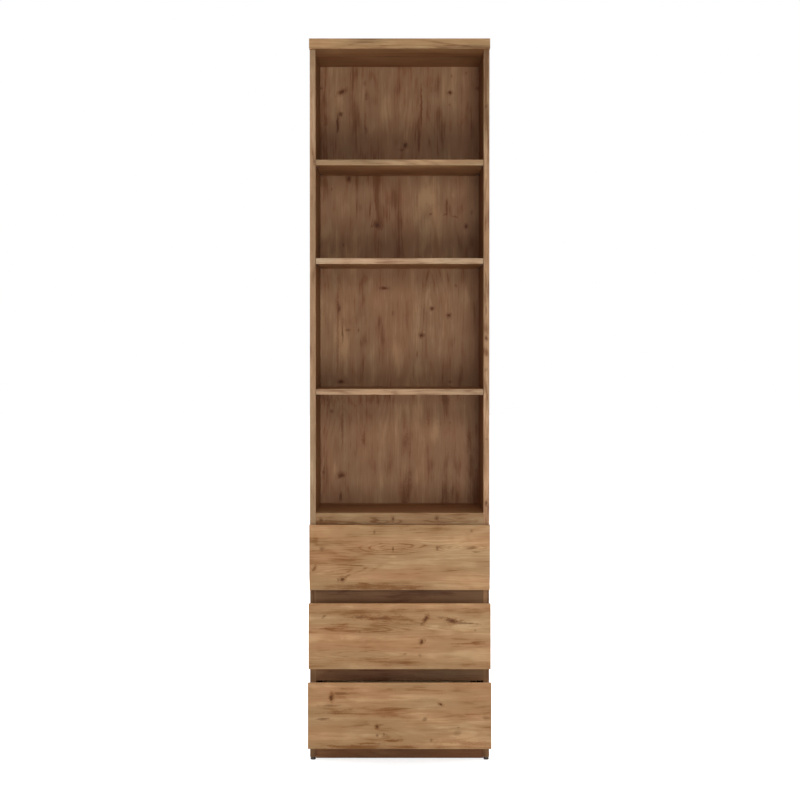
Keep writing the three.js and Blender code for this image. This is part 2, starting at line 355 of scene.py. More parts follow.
# %% Group: ragged place
push_reach = 6 * mm
push_stretch = (45.0, 120.0)
wobble_stretch = (110.0, 330.0)
ragged_tree, bench, entry = new_group(
    "Ragged place", {"Place": nowhere, "Push": push_reach}, {"Place": nowhere, "Wobble": 0.0})
pushes = bench.noise_colour(bench.stretch(entry["Place"], *push_stretch))
centred = bench.vector("SUBTRACT", pushes, (noise_middle,) * len(nowhere))
push = bench.vector("MULTIPLY", centred, bench.combine(entry["Push"], entry["Push"], 0.0))
wobble = bench.noise(bench.stretch(entry["Place"], *wobble_stretch))
close_group(bench, {"Place": bench.vector("ADD", entry["Place"], push), "Wobble": wobble})

# %% [markdown]
# ## Knots, flames and marks
# Round a knot the fibres part and close again, and the growth rings go round it. One group makes
# one knot: from the distance to its centre it gives a dark core, a warm halo, a rise in the ring
# field, which puts rings round it, and a shift across the grain that bends the fibres round it. A
# flame is the same rise in the ring field, long and flat and without a core: its rings run into
# the pointed arches of a board sawn near the middle of the trunk. A mark is only a patch with a
# length, a width and a slant: brown where the tree took up minerals, pale between two rings. But
# one wide brown band across the back is painted shade at the third shelf, and the long bands along
# the fronts only make them darker at the bottom and lighter higher up.

# %% Groups: knot, flame and mark
mark_inputs = {"Place": nowhere, "Centre": nowhere, "Wobble": 0.0, "Along": x_way, "Across": y_way}
knot_outputs = {"Core": 0.0, "Halo": 0.0, "Rings": 0.0, "Shift": 0.0}
# the distances at which each part of a mark fades, where 1 is the mark's outline
knot_reach = 3.6
core_fade = (1.2, 0.5)
halo_fade = (2.6, 0.7)
flame_fade = (1.6, 0.0)
mark_fade = (1.35, 0.25)
knot_fraying = 1.5
mark_fraying = 1.8
bend_width = 2.0


def offset_from(bench, entry):
    return bench.vector("SUBTRACT", entry["Place"], entry["Centre"])


def mark_distance(bench, entry):
    """How far this place is from the mark's centre, where 1 is the mark's outline."""
    offset = offset_from(bench, entry)
    shares = [bench.vector("DOT_PRODUCT", offset, entry[way]) for way in ("Along", "Across")]
    return bench.vector("LENGTH", bench.combine(*shares, 0.0))


def frayed(bench, distance, wobble, fraying):
    return bench.times(distance, bench.add(bench.times(wobble, fraying), 1.0))


def knot_fields(bench, distance, outline, side, chosen=1.0):
    """What a knot does at a distance. side is how far across the grain the place lies from it."""
    nearness = bench.times(bench.fade(distance, knot_reach, 0.0), chosen)
    bend = bench.math("DIVIDE", -bend_width, bench.add(bench.times(distance, distance), bend_width))
    return {
        "Core": bench.times(bench.fade(outline, *core_fade), chosen),
        "Halo": bench.times(bench.fade(outline, *halo_fade), chosen),
        "Rings": bench.times(nearness, nearness),
        "Shift": bench.times(side, bend, nearness)}


knot_tree, bench, entry = new_group("Knot", mark_inputs, knot_outputs)
distance = mark_distance(bench, entry)
outline = frayed(bench, distance, entry["Wobble"], knot_fraying)
side = bench.split(offset_from(bench, entry))["Y"]
close_group(bench, knot_fields(bench, distance, outline, side))

flame_tree, bench, entry = new_group("Flame", mark_inputs, {"Rings": 0.0})
close_group(bench, {"Rings": bench.fade(mark_distance(bench, entry), *flame_fade)})

mark_tree, bench, entry = new_group("Mark", mark_inputs, {"Mask": 0.0})
outline = frayed(bench, mark_distance(bench, entry), entry["Wobble"], mark_fraying)
close_group(bench, {"Mask": bench.fade(outline, *mark_fade)})

# %% [markdown]
# ## Stray knots
# The faces that the photograph doesn't show have knots too. There they come from the cells of a
# Voronoi texture, stretched along the grain: only some cells hold one, so they stay rare.

# %% Group: stray knots
cells_along = 2.4
cells_across = 7.0
least_draw = 0.66
smallest_knot = 0.016
knot_range = 0.020
stray_tree, bench, entry = new_group("Stray knots", {"Place": nowhere, "Wobble": 0.0}, knot_outputs)
stretched = bench.stretch(entry["Place"], cells_along, cells_across)
cells = bench.cells(stretched)
draws = bench.split(cells["Color"])
chosen = bench.math("GREATER_THAN", draws["X"], least_draw)
size_here = bench.add(bench.times(draws["Y"], knot_range), smallest_knot)
distance = bench.math("DIVIDE", cells["Distance"], size_here)
outline = frayed(bench, distance, entry["Wobble"], mark_fraying)
offset = bench.split(bench.vector("SUBTRACT", stretched, cells["Position"]))
side = bench.times(offset["Y"], 1 / cells_across)
close_group(bench, knot_fields(bench, distance, outline, side, chosen))

# %% [markdown]
# ## The oak figure
# Oak decor has several scales at once: broad soft bands, a mottle as large as a hand, growth lines
# that run into pointed arches, fine streaks, hair-thin fibres and short dark pores. The arches
# come from the contour lines of one smooth noise that is stretched along the grain. The group
# mixes three colours by the sum of all these, drifts between a red and an olive cast as oak does,
# darkens the knots, and gives a height for the pores, which the surface shows as a slight texture.

# %% Oak figure: its sockets
example_brown = (0.4, 0.25, 0.12, 1)
figure_tree, bench, entry = new_group(
    "Oak figure",
    {"Place": nowhere, "Shift": 0.0, "Rings": 0.0, "Core": 0.0, "Halo": 0.0, "Brown": 0.0, "Pale": 0.0,
     "Light": example_brown, "Middle": example_brown, "Dark": example_brown,
     "Knot Colour": example_brown, "Contrast": 1.0, "Lines": 1.0, "Casting": 1.0},
    {"Colour": white, "Tone": 0.0, "Height": 0.0})
contrast, lines = entry["Contrast"], entry["Lines"]
print("oak figure:", len(figure_tree.interface.items_tree), "sockets")

# %% Oak figure: noises
# each noise's scale along the grain and across it, its detail and its roughness
wander_noise = (5.0, 14.0, 2.0, 0.5)
figure_noises = {
    "broad": (2.4, 26.0, 3.0, 0.55),
    "patch": (3.2, 7.0, 1.0, 0.5),
    "mottle": (13.0, 34.0, 2.0, 0.5),
    "cast": (3.0, 18.0, 2.0, 0.5),
    "rings": (1.6, 7.5, 1.0, 0.5),
    "streaks": (8.0, 230.0, 3.0, 0.65),
    "dashes": (16.0, 300.0, 1.0, 0.5),
    "fibres": (22.0, 950.0, 2.0, 0.6),
    "pores": (55.0, 1700.0, 1.0, 0.5)}
wander_reach = 14 * mm


def figure_noise(place, scale_along, scale_across, detail, roughness):
    stretched = bench.stretch(place, scale_along, scale_across)
    return bench.noise(stretched, detail=detail, roughness=roughness)


place = bench.split(entry["Place"])
bent = bench.combine(place["X"], bench.add(place["Y"], entry["Shift"]), place["Z"])
wander = bench.times(figure_noise(bent, *wander_noise), wander_reach)
wandering = bench.vector("ADD", bent, bench.combine(0.0, wander, 0.0))
fields = {name: figure_noise(wandering, *settings) for name, settings in figure_noises.items()}
patch, streaks, fibres = [fields[name] for name in ("patch", "streaks", "fibres")]
print("noises:", ", ".join(fields))

# %% Oak figure: growth lines, dashes and pores
rings_in_noise = 17.0
rings_in_mark = 3.6
wave_half = 0.5
line_sharpness = 3.0
mark_patch = 0.8
line_fade = (-0.15, 0.35, 0.25, 1.0)
dash_fade = (0.09, 0.26)
pore_fade = (0.10, 0.22)
pore_band_fade = (-0.3, 0.2)

noise_rings = bench.times(fields["rings"], rings_in_noise)
ring_field = bench.add(noise_rings, bench.times(entry["Rings"], rings_in_mark))
ring_wave = bench.math("SINE", bench.times(ring_field, 2 * math.pi))
ring_crests = bench.add(bench.times(ring_wave, wave_half), wave_half)
line_strength = bench.fade(bench.add(patch, bench.times(entry["Rings"], mark_patch)), *line_fade)
ring_lines = bench.times(bench.math("POWER", ring_crests, line_sharpness), line_strength)
dashes = bench.fade(fields["dashes"], *dash_fade)
pore_bands = bench.fade(bench.add(fields["broad"], streaks), *pore_band_fade)
pores = bench.times(bench.fade(fields["pores"], *pore_fade), pore_bands)
print("growth lines, dashes and pores added")

# %% Oak figure: tone, colour and relief
tone_base = 0.56
dark_tone, middle_tone, light_tone = (-0.1, 0.5, 1.1)
red_cast = (1.05, 0.98, 0.955, 1)
olive_cast = (0.96, 1.012, 1.015, 1)
cast_of_brown = -0.12
cast_fade = (-0.16, 0.16)
halo_depth = 0.40
core_depth = 0.90
# what lightens the wood and what darkens it, and by how much
tone_shares = [
    (fields["broad"], 1.50, contrast), (patch, 1.15, contrast), (fields["mottle"], 0.85, contrast),
    (ring_lines, -0.30, lines), (streaks, 0.95, lines), (dashes, -0.24, lines),
    (fibres, 0.34), (pores, -0.20),
    (entry["Pale"], 0.42), (entry["Halo"], -0.30), (entry["Brown"], -0.62)]
# what stands out of the surface and what lies below it
relief_shares = [(pores, -0.6), (fibres, 0.5), (streaks, 0.3)]

tone = bench.add(tone_base, *[bench.times(*share) for share in tone_shares])
lower_half = bench.mix(bench.fade(tone, dark_tone, middle_tone), entry["Dark"], entry["Middle"])
wood = bench.mix(bench.fade(tone, middle_tone, light_tone), lower_half, entry["Light"])
cast_tone = bench.add(fields["cast"], bench.times(entry["Brown"], cast_of_brown))
casting = bench.mix(bench.fade(cast_tone, *cast_fade), red_cast, olive_cast)
cast_wood = bench.mix(entry["Casting"], wood, casting, "MULTIPLY")
warm = bench.mix(bench.times(entry["Halo"], halo_depth), cast_wood, entry["Dark"])
knotted = bench.mix(bench.times(entry["Core"], core_depth), warm, entry["Knot Colour"])
relief = bench.add(*[bench.times(*share) for share in relief_shares])
close_group(bench, {"Colour": knotted, "Tone": tone, "Height": relief})

# %% [markdown]
# ## Edges of a board
# Handling lightens the edges of a board a little and dulls them, and where the edge band meets
# the decor the glue shows as a hairline. For a board the distance to its edges is simple to work
# out from its own box: near an edge, two of the three distances to its faces are small, so the
# middle one of the three tells how close the edge is. The hairline runs a band's thickness from
# the edge, on the two wide faces only.

# %% Group: board edges
wear_width = 3 * mm
band_thickness = 0.8 * mm
hairline_fade = (0.25 * mm, 0.10 * mm)
wear_noise = {"scale": 60.0, "detail": 3.0}
wear_contrast = 1.4
wear_level = 0.75
wide_turn = 0.9
edges_tree, bench, entry = new_group(
    "Board edges",
    {"Low": nowhere, "High": nowhere, "Thin": y_way, "Wear Width": wear_width, "Band": band_thickness},
    {"Worn": 0.0, "Hairline": 0.0})
texture_place = bench.node("ShaderNodeTexCoord").outputs
here = texture_place["Object"]
to_low = bench.split(bench.vector("SUBTRACT", here, entry["Low"]))
to_high = bench.split(bench.vector("SUBTRACT", entry["High"], here))
gaps = [bench.lowest(*pair) for pair in zip(to_low, to_high)]
outer_two = bench.add(bench.lowest(*gaps), bench.highest(*gaps))
middle_gap = bench.less(bench.add(*gaps), outer_two)
patchy = bench.add(bench.times(bench.noise(here, **wear_noise), wear_contrast), wear_level)
wide_facing = bench.math("ABSOLUTE", bench.vector("DOT_PRODUCT", texture_place["Normal"], entry["Thin"]))
on_wide_face = bench.math("GREATER_THAN", wide_facing, wide_turn)
off_line = bench.math("ABSOLUTE", bench.less(middle_gap, entry["Band"]))
close_group(bench, {
    "Worn": bench.times(bench.fade(middle_gap, entry["Wear Width"], 0.0), patchy),
    "Hairline": bench.times(bench.fade(off_line, *hairline_fade), on_wide_face)})

# %% [markdown]
# ## Painted shade in the finger gaps
# The front edges of the sides lie in shade in the finger gaps, and a darker tint paints it. A darker
# rectangle would show its outline when a drawer is open, so the tint fades in and out over the height.

# %% Group: painted gap shade
gap_softness = 16 * mm
gap_shade_tree, bench, entry = new_group(
    "Painted gap shade",
    {"Colour": white, "Tint": white, "Bottom": 0.0, "Top": 0.0, "Softness": gap_softness},
    {"Colour": white})
up = bench.split(bench.here())["Z"]
below = bench.less(entry["Bottom"], entry["Softness"])
above = bench.add(entry["Top"], entry["Softness"])
mask = bench.times(bench.fade(up, below, entry["Bottom"]), bench.fade(up, above, entry["Top"]))
close_group(bench, {"Colour": bench.mix(mask, entry["Colour"], entry["Tint"], "MULTIPLY")})

# %% [markdown]
# ## Oak colours
# All the boards carry one oak decor. Each board has a palette of light, middle and dark wood and a
# knot's colour, written as they look on screen, and a deeper palette is a share of another one's
# light. The deeper palettes of the hidden faces are painted shade, where those faces lie inside the
# compartments and behind the fronts.

# %% Palettes
srgb_knee = 0.04045
srgb_slope = 12.92
srgb_offset = 0.055
srgb_power = 2.4
full_level = 255


def linear(level):
    """One of a colour's levels, 0 to 255 on screen, as the linear value that shaders use."""
    share = level / full_level
    if share <= srgb_knee:
        return share / srgb_slope
    return ((share + srgb_offset) / (1 + srgb_offset)) ** srgb_power


def colour(red, green, blue):
    return (linear(red), linear(green), linear(blue), 1.0)


def oak_palette(*shades):
    return {name: colour(*shade) for name, shade in zip(("Light", "Middle", "Dark", "Knot Colour"), shades)}


def deeper(palette, red, green, blue):
    """The same palette with these shares of its red, green and blue light."""
    shares = (red, green, blue, 1.0)
    return {
        name: tuple(value * share for value, share in zip(shade, shares))
        for name, shade in palette.items()}


front_oak = oak_palette((188, 152, 111), (165, 126, 87), (125, 80, 40), (88, 48, 18))
edge_oak = oak_palette((190, 155, 114), (166, 130, 92), (122, 84, 54), (96, 60, 32))
band_oak = oak_palette((184, 146, 112), (156, 119, 86), (116, 78, 50), (84, 50, 28))
# The back carries the same decor a little deeper: painted shade of the compartments.
back_oak = oak_palette((181, 143, 105), (155, 115, 83), (119, 74, 42), (88, 48, 22))
foil_oak = oak_palette((232, 214, 184), (220, 198, 164), (194, 166, 128), (156, 122, 86))
# Deeper copies of the fronts' palette are painted shade: the shelves' tops and undersides inside the
# compartments, the rails and the plinth behind the fronts, and the apron strip above the first front.
shaded_level_oak = deeper(front_oak, 0.86, 0.72, 0.65)
shaded_rail_oak = deeper(front_oak, 0.45, 0.39, 0.38)
shaded_plinth_oak = deeper(front_oak, 0.47, 0.34, 0.29)
shaded_strip_oak = deeper(front_oak, 0.76, 0.74, 0.73)
# This tint is painted shade on the sides' front edges in the finger gaps.
gap_shade_tint = (0.62, 0.525, 0.43, 1)
print("middle oak of the fronts:", [round(value / mm) for value in front_oak["Middle"]], "thousandths")

# %% [markdown]
# ## Oak finishes
# Each board starts at its own place in the pattern, so that no two are alike. The fronts, the
# back, the rails and the sides' front edges also list the knots, flames and marks that the
# photograph shows. Each is placed by shares of the board's width and height, with its half length
# along the grain and half width across it in millimetres, its slant in degrees and, where it is
# less than one, its strength.

# %% Marks of a board
across_board = {"Along": x_way, "Across": z_way}
lying_board = {"Along": x_way, "Across": y_way}
upright_back = {"Along": z_way, "Across": x_way}
upright_side = {"Along": z_way, "Across": y_way}
deep_board = {"Along": y_way, "Across": z_way}


def placed_mark(node, run, across_share, up_share, half_length, half_width, slant, strength=1.0):
    """The sockets of one knot, flame or mark, and its strength, from its line in a board's list."""
    low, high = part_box(node)
    place = Vector((low.x + (high.x - low.x) * across_share, low.y, low.z + (high.z - low.z) * up_share))
    along_way, across_way = Vector(run["Along"]), Vector(run["Across"])
    centre = [place.dot(way) for way in (along_way, across_way, along_way.cross(across_way))]
    lean = math.radians(slant)
    along = Vector((math.cos(lean), math.sin(lean), 0)) / (half_length * mm)
    across = Vector((-math.sin(lean), math.cos(lean), 0)) / (half_width * mm)
    return {"Centre": centre, "Along": along, "Across": across}, strength


def thin_way(node):
    """The axis along which a board is thinnest."""
    low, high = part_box(node)
    return min(zip(high - low, ways))[1]


# %% What a board's marks add up to
def mark_totals(bench, node, run, marks, grain):
    """The sum of a board's knots, flames and marks. Where it lists no knots it has stray ones."""
    ragged = use_group(bench, ragged_tree, {"Place": grain["Place"]})
    totals = dict.fromkeys(("Shift", "Rings", "Core", "Halo", "Brown", "Pale"), 0.0)

    def place_marks(kind, tree, feeds):
        for mark in marks.get(kind, ()):
            inputs, strength = placed_mark(node, run, *mark)
            made = use_group(bench, tree, {**inputs, "Place": ragged["Place"], "Wobble": ragged["Wobble"]})
            for total, output, combine in feeds:
                totals[total] = combine(totals[total], bench.times(made[output], strength))

    if "knots" in marks:
        place_marks("knots", knot_tree, [
            ("Shift", "Shift", bench.add), ("Rings", "Rings", bench.add),
            ("Core", "Core", bench.highest), ("Halo", "Halo", bench.highest)])
    else:
        stray = use_group(bench, stray_tree, {"Place": grain["Own Place"], "Wobble": ragged["Wobble"]})
        totals.update({socket: stray[socket] for socket in knot_outputs})
    place_marks("flames", flame_tree, [("Rings", "Rings", bench.add)])
    for kind, total in (("dark", "Core"), ("brown", "Brown"), ("pale", "Pale")):
        place_marks(kind, mark_tree, [(total, "Mask", bench.highest)])
    return totals


# %% The oak recipe
decor_sheen = 0.12
decor_roughness = 0.50
roughness_of_tone = 0.08
roughness_of_wear = 0.10
wear_strength = 0.18
hairline_strength = 0.55
pore_relief = 0.30
pore_depth = 0.2 * mm


def oak(
        name, node, palette, run, start=nowhere, marks=None, contrast=1.0,
        lines=None, casting=1.0, painted_shade_levels=()):
    """Oak decor for one board. run says which way its grain goes, marks lists what it shows.
    Its growth lines are as strong as its bands unless lines gives them a strength of their own.
    Between the pairs of heights in painted_shade_levels it paints the gaps' shade as a darker tint."""
    material, bench, shader = new_material(name)
    grain = use_group(bench, grain_tree, {**run, "Start": start})
    figure = use_group(bench, figure_tree, {
        "Place": grain["Own Place"], "Contrast": contrast, "Lines": contrast if lines is None else lines,
        "Casting": casting, **mark_totals(bench, node, run, marks or {}, grain), **palette})
    low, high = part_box(node)
    edges = use_group(bench, edges_tree, {"Low": low, "High": high, "Thin": thin_way(node)})
    worn = bench.mix(bench.times(edges["Worn"], wear_strength), figure["Colour"], palette["Light"])
    shade = bench.mix(bench.times(edges["Hairline"], hairline_strength), worn, palette["Dark"])
    # Painted shade of the finger gaps: a darker tint between these heights.
    for bottom, top in painted_shade_levels:
        gap_shade_inputs = {"Colour": shade, "Tint": gap_shade_tint, "Bottom": bottom, "Top": top}
        shade = use_group(bench, gap_shade_tree, gap_shade_inputs)["Colour"]
    shader.inputs["Specular IOR Level"].default_value = decor_sheen
    roughness = bench.add(
        decor_roughness, bench.times(figure["Tone"], roughness_of_tone),
        bench.times(edges["Worn"], roughness_of_wear))
    set_surface(bench, shader, shade, roughness, pore_relief, pore_depth, figure["Height"])
    return material


print("the oak recipe reads", len(bpy.data.node_groups), "groups")

# %% [markdown]
# ## Raw edges and plain boards
# Decor covers only what a buyer sees. The rear and lower edges are sawn chipboard: chips of
# different browns, packed flat. The rear of the back is bare hardboard, smooth, brown and finely
# felted. Both are mixed from cell and noise textures in the board's own place.

# %% Chipboard
chip_push_scale = 300.0
chip_push = 2 * mm
chip_stretch = (230.0, 230.0, 520.0)
chip_browns = (colour(150, 112, 72), colour(206, 172, 124))
chip_gap_fade = (0.45, 0.85)
chip_gap_depth = 0.7
chip_gap_brown = colour(104, 72, 44)
grime_noise = {"scale": 25.0, "detail": 4.0}
grime_fade = (0.0, 0.4)
grime_depth = 0.25
grime_brown = colour(110, 84, 58)
chip_roughness = {"low": 0.85, "high": 0.95}
chip_relief = 0.8
chip_depth = 0.4 * mm

raw_chipboard, bench, shader = new_material("raw_chipboard")
here = bench.here()
pushes = bench.noise_colour(here, chip_push_scale)
pushed = bench.vector("ADD", here, bench.vector("MULTIPLY", pushes, (chip_push,) * len(nowhere)))
cells = bench.cells(bench.vector("MULTIPLY", pushed, chip_stretch))
draw = bench.split(cells["Color"])["X"]
chip_gap = bench.fade(cells["Distance"], *chip_gap_fade)
chipped = bench.mix(bench.times(chip_gap, chip_gap_depth), bench.mix(draw, *chip_browns), chip_gap_brown)
grime = bench.fade(bench.noise(here, **grime_noise), *grime_fade)
grimy = bench.mix(bench.times(grime, grime_depth), chipped, grime_brown)
roughness = bench.fade(draw, **chip_roughness)
set_surface(bench, shader, grimy, roughness, chip_relief, chip_depth, chip_gap, sunk=True)
print("chipboard:", len(raw_chipboard.node_tree.nodes), "nodes")

# %% Hardboard
cloud_noise = {"scale": 9.0, "detail": 4.0}
felt_noise = {"scale": 420.0, "detail": 3.0, "roughness": 0.7}
fleck_stretch = (160.0, 160.0, 420.0)
fleck_fade = (0.16, 0.26)
fleck_depth = 0.4
fleck_brown = colour(92, 62, 40)
board_browns = (colour(126, 92, 62), colour(160, 124, 88))
cloud_share = 0.8
felt_share = 0.9
felt_roughness_fade = (-0.4, 0.4, 0.70, 0.86)
felt_relief = 0.25
felt_depth = 0.1 * mm

raw_hardboard, bench, shader = new_material("raw_hardboard")
here = bench.here()
felt = bench.noise(here, **felt_noise)
fleck = bench.fade(bench.noise(bench.vector("MULTIPLY", here, fleck_stretch)), *fleck_fade)
tone = bench.add(
    noise_middle, bench.times(bench.noise(here, **cloud_noise), cloud_share), bench.times(felt, felt_share))
flecked = bench.mix(bench.times(fleck, fleck_depth), bench.mix(tone, *board_browns), fleck_brown)
roughness = bench.fade(felt, *felt_roughness_fade)
set_surface(bench, shader, flecked, roughness, felt_relief, felt_depth, felt)
print("hardboard:", len(raw_hardboard.node_tree.nodes), "nodes")

# %% [markdown]
# ## Metal and plastic
# Runners are bright zinc on steel: a faint cloudy spangle and fine scratches along the way the
# drawer slides. Shelf pins and the joining strip of the back are matt brown plastic, which is
# hardly seen against the boards. The glides are darker, scuffed where they stand, and the bumpers
# are milky and smoother. One group makes the fine scratches for all of them: a noise stretched far
# along one way, cut to its thin peaks.

# %% Group: fine scratches
scratch_patches = {"scale": 22.0}
patch_fade = (-0.2, 0.25)
scratch_fade = (0.10, 0.24)
scratch_tree, bench, entry = new_group(
    "Fine scratches", {"Stretch": nowhere, "Amount": 0.0}, {"Mask": 0.0})
here = bench.here()
peaks = bench.fade(bench.noise(bench.vector("MULTIPLY", here, entry["Stretch"])), *scratch_fade)
patches = bench.fade(bench.noise(here, **scratch_patches), *patch_fade)
close_group(bench, {"Mask": bench.times(peaks, patches, entry["Amount"])})

# %% Zinc
spangle_noise = {"scale": 70.0, "detail": 3.0}
spangle_fade = (-0.3, 0.3)
spangle_roughness = 0.22
scratch_roughness = 0.18
scratch_relief = 0.15
fine_depth = 0.05 * mm


def metal(name, shade, scratched, stretch, rough, amount):
    """Zinc of two shades. stretch says which way its scratches run, amount how clear they are."""
    material, bench, shader = new_material(name)
    cloud = bench.noise(bench.here(), **spangle_noise)
    scratch = use_group(bench, scratch_tree, {"Stretch": stretch, "Amount": amount})["Mask"]
    clouded = bench.mix(bench.fade(cloud, *spangle_fade), colour(*shade), colour(*scratched))
    shader.inputs["Metallic"].default_value = 1.0
    roughness = bench.add(
        rough, bench.times(cloud, spangle_roughness), bench.times(scratch, scratch_roughness))
    marked = bench.mix(scratch, clouded, colour(*scratched))
    set_surface(bench, shader, marked, roughness, scratch_relief, fine_depth, scratch, sunk=True)
    return material


metal_looks = {
    "zinc_steel": ((176, 180, 184), (214, 216, 218), (500, 8, 500), 0.34, 0.6),
    "screw_zinc": ((190, 190, 186), (222, 222, 216), (300, 300, 300), 0.28, 0.3)}
zinc, screw_zinc = [metal(name, *look) for name, look in metal_looks.items()]
print("metals:", zinc.name, screw_zinc.name)

# %% Plastics
skin_noise = {"scale": 1800.0}
plastic_cloud = {"scale": 40.0, "detail": 3.0}
plastic_cloud_fade = (-0.4, 0.4, 0.0, 0.35)
scuff_amount = 0.7
scuff_depth = 0.6
scuff_roughness = 0.15
skin_roughness = 0.12
skin_relief = 0.2


def plastic(name, shade, scuffed, rough, stretch):
    """Moulded plastic with a fine skin, and scuffs that run as stretch says."""
    material, bench, shader = new_material(name)
    here = bench.here()
    skin = bench.noise(here, **skin_noise)
    cloud = bench.fade(bench.noise(here, **plastic_cloud), *plastic_cloud_fade)
    scuff = use_group(bench, scratch_tree, {"Stretch": stretch, "Amount": scuff_amount})["Mask"]
    clouded = bench.mix(cloud, colour(*shade), colour(*scuffed))
    marked = bench.mix(bench.times(scuff, scuff_depth), clouded, colour(*scuffed))
    roughness = bench.add(rough, bench.times(skin, skin_roughness), bench.times(scuff, scuff_roughness))
    set_surface(bench, shader, marked, roughness, skin_relief, fine_depth, skin)
    return material


plastic_looks = {
    "strip_plastic": ((112, 80, 54), (138, 106, 80), 0.48, (90, 900, 900)),
    "pin_plastic": ((84, 58, 38), (112, 84, 60), 0.50, (90, 300, 300)),
    "dark_plastic": ((52, 40, 32), (84, 70, 60), 0.45, (60, 60, 60)),
    "clear_bumper": ((188, 184, 174), (214, 210, 202), 0.30, (60, 60, 60))}
strip_plastic, pin_plastic, glide_plastic, bumper_plastic = [
    plastic(name, *look) for name, look in plastic_looks.items()]
print("plastics:", ", ".join(plastic_looks))

# %% [markdown]
# ## Boards
# Each board's solid has the right size, so its piece starts as a copy of it. The copy is loose
# triangles: they are welded and merged into flat faces first. Then the long sharp edges get the
# small rounding that a scraped edge band has, because light catches there and a knife-sharp edge
# looks drawn. The wide faces stay flat and only the rounded strips are shaded smooth. Last, each
# side of the board gets its finish: decor, a deeper decor that paints shade on a hidden face, or raw board.

# %% Shaping a board
weld_distance = 0.002 * mm
flat_angle = math.radians(1)
sharp_angle = math.radians(30)
edge_rounding = 0.25 * mm
thin_rounding = 0.1 * mm
least_edge = 25 * mm
board_segments = 2
round_profile = 0.5
own_material = -1


def merged_copy(node):
    """A bmesh copy of a node, with its loose triangles welded and merged into flat faces."""
    shape = bmesh.new()
    shape.from_mesh(frame["nodes"][node].data)
    bmesh.ops.remove_doubles(shape, verts=shape.verts, dist=weld_distance)
    bmesh.ops.dissolve_limit(shape, angle_limit=flat_angle, verts=shape.verts, edges=shape.edges)
    return shape


def soften(shape, edges, radius, segments):
    bmesh.ops.bevel(
        shape, geom=edges, offset=radius, offset_type="OFFSET", segments=segments,
        profile=round_profile, affect="EDGES", material=own_material, clamp_overlap=True)


def round_long_edges(shape, rounding):
    """Rounds the long sharp edges that stick out, and leaves grooves and holes crisp."""
    soften(shape, [
        edge for edge in shape.edges
        if edge.is_manifold and edge.is_convex and edge.calc_face_angle() > sharp_angle
        and edge.calc_length() > least_edge], rounding, board_segments)


# %% Finishing a piece
side_depth = 2 * mm
side_turn = 0.9
flat_turn = 0.9995
side_axes = {
    "left": (0, -1), "right": (0, 1), "front": (1, -1), "rear": (1, 1), "bottom": (2, -1), "top": (2, 1)}


def side_of(face, low, high):
    """The side of the board's box on which this face lies, or None."""
    centre = face.calc_center_median()
    for side, (axis, sign) in side_axes.items():
        limit = high[axis] if sign > 0 else low[axis]
        if face.normal[axis] * sign > side_turn and abs(centre[axis] - limit) < side_depth:
            return side
    return None


def new_mesh(name, shape):
    """A mesh from a bmesh, which is freed."""
    mesh = bpy.data.meshes.new(name)
    shape.to_mesh(mesh)
    shape.free()
    return mesh


def finish_piece(shape, name, materials, node):
    """Turns a bmesh into a piece with its mesh and materials, on the body of a node."""
    for face in shape.faces:
        face.smooth = max(abs(value) for value in face.normal) < flat_turn
    mesh = new_mesh(name, shape)
    for material in materials:
        mesh.materials.append(material)
    piece = bpy.data.objects.new(name, mesh)
    bpy.context.collection.objects.link(piece)
    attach(piece, body_of[node])
    return piece


def board(node, decor, sides=None, rounding=edge_rounding):
    """A finished board in place of its node. sides gives another finish to some of its sides."""
    sides = sides or {}
    materials = [decor] + list(dict.fromkeys(sides.values()))
    shape = merged_copy(node)
    round_long_edges(shape, rounding)
    low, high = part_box(node)
    for face in shape.faces:
        side = side_of(face, low, high)
        face.material_index = materials.index(sides[side]) if side in sides else 0
    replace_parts(finish_piece(shape, node + "_board", materials, node), node)


# %% [markdown]
# ## The case: sides, top, floor, rails and plinth
# The sides' grain runs upright. Their inner faces lie in the shade of the compartments, and a deeper
# palette paints that shade on them. The front edges carry a lighter band with knots of its own. In
# the finger gaps between the fronts that band gets painted shade too, a little lower than the rails
# are, because the camera looks down on them.

# %% Side panels
# The heights between which the sides' front edges get painted shade, a little lower than the rails.
gap_drop = 7 * mm
gap_shade_levels = [
    [corner.z - gap_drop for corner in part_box(node)]
    for node in ("plinth_front", "drawer_rail_1", "drawer_rail_2")]
band_marks = {
    "left": {
        "knots": [(0.8, 0.842, 5, 2, 0, 0.4)],
        "brown": [(0.3, 0.78, 60, 3, 0, 0.4), (0.7, 0.56, 90, 3, 0, 0.4)],
        "pale": [(0.6, 0.90, 70, 3, 0, 0.5), (0.3, 0.48, 80, 3, 0, 0.5)]},
    "right": {
        "knots": [(0.4, 0.920, 4, 2.2, 12, 0.9), (0.45, 0.593, 4, 2.5, -12), (0.45, 0.360, 5, 3, 0, 0.9)],
        "dark": [(0.4, 0.548, 7, 4, 35, 0.5), (0.5, 0.451, 3, 6, 0, 0.4)],
        "brown": [
            (0.5, 0.87, 60, 4, 0, 0.5), (0.3, 0.72, 70, 3, 0, 0.6), (0.5, 0.575, 16, 6, 0, 0.5),
            (0.6, 0.50, 40, 3, 0, 0.5)],
        "pale": [(0.5, 0.566, 4, 5, 0, 0.8), (0.3, 0.512, 9, 4, 0, 0.7), (0.5, 0.64, 50, 4, 0, 0.5)]},
}
outer_contrast = 0.8
inward_side = {"left": "right", "right": "left"}
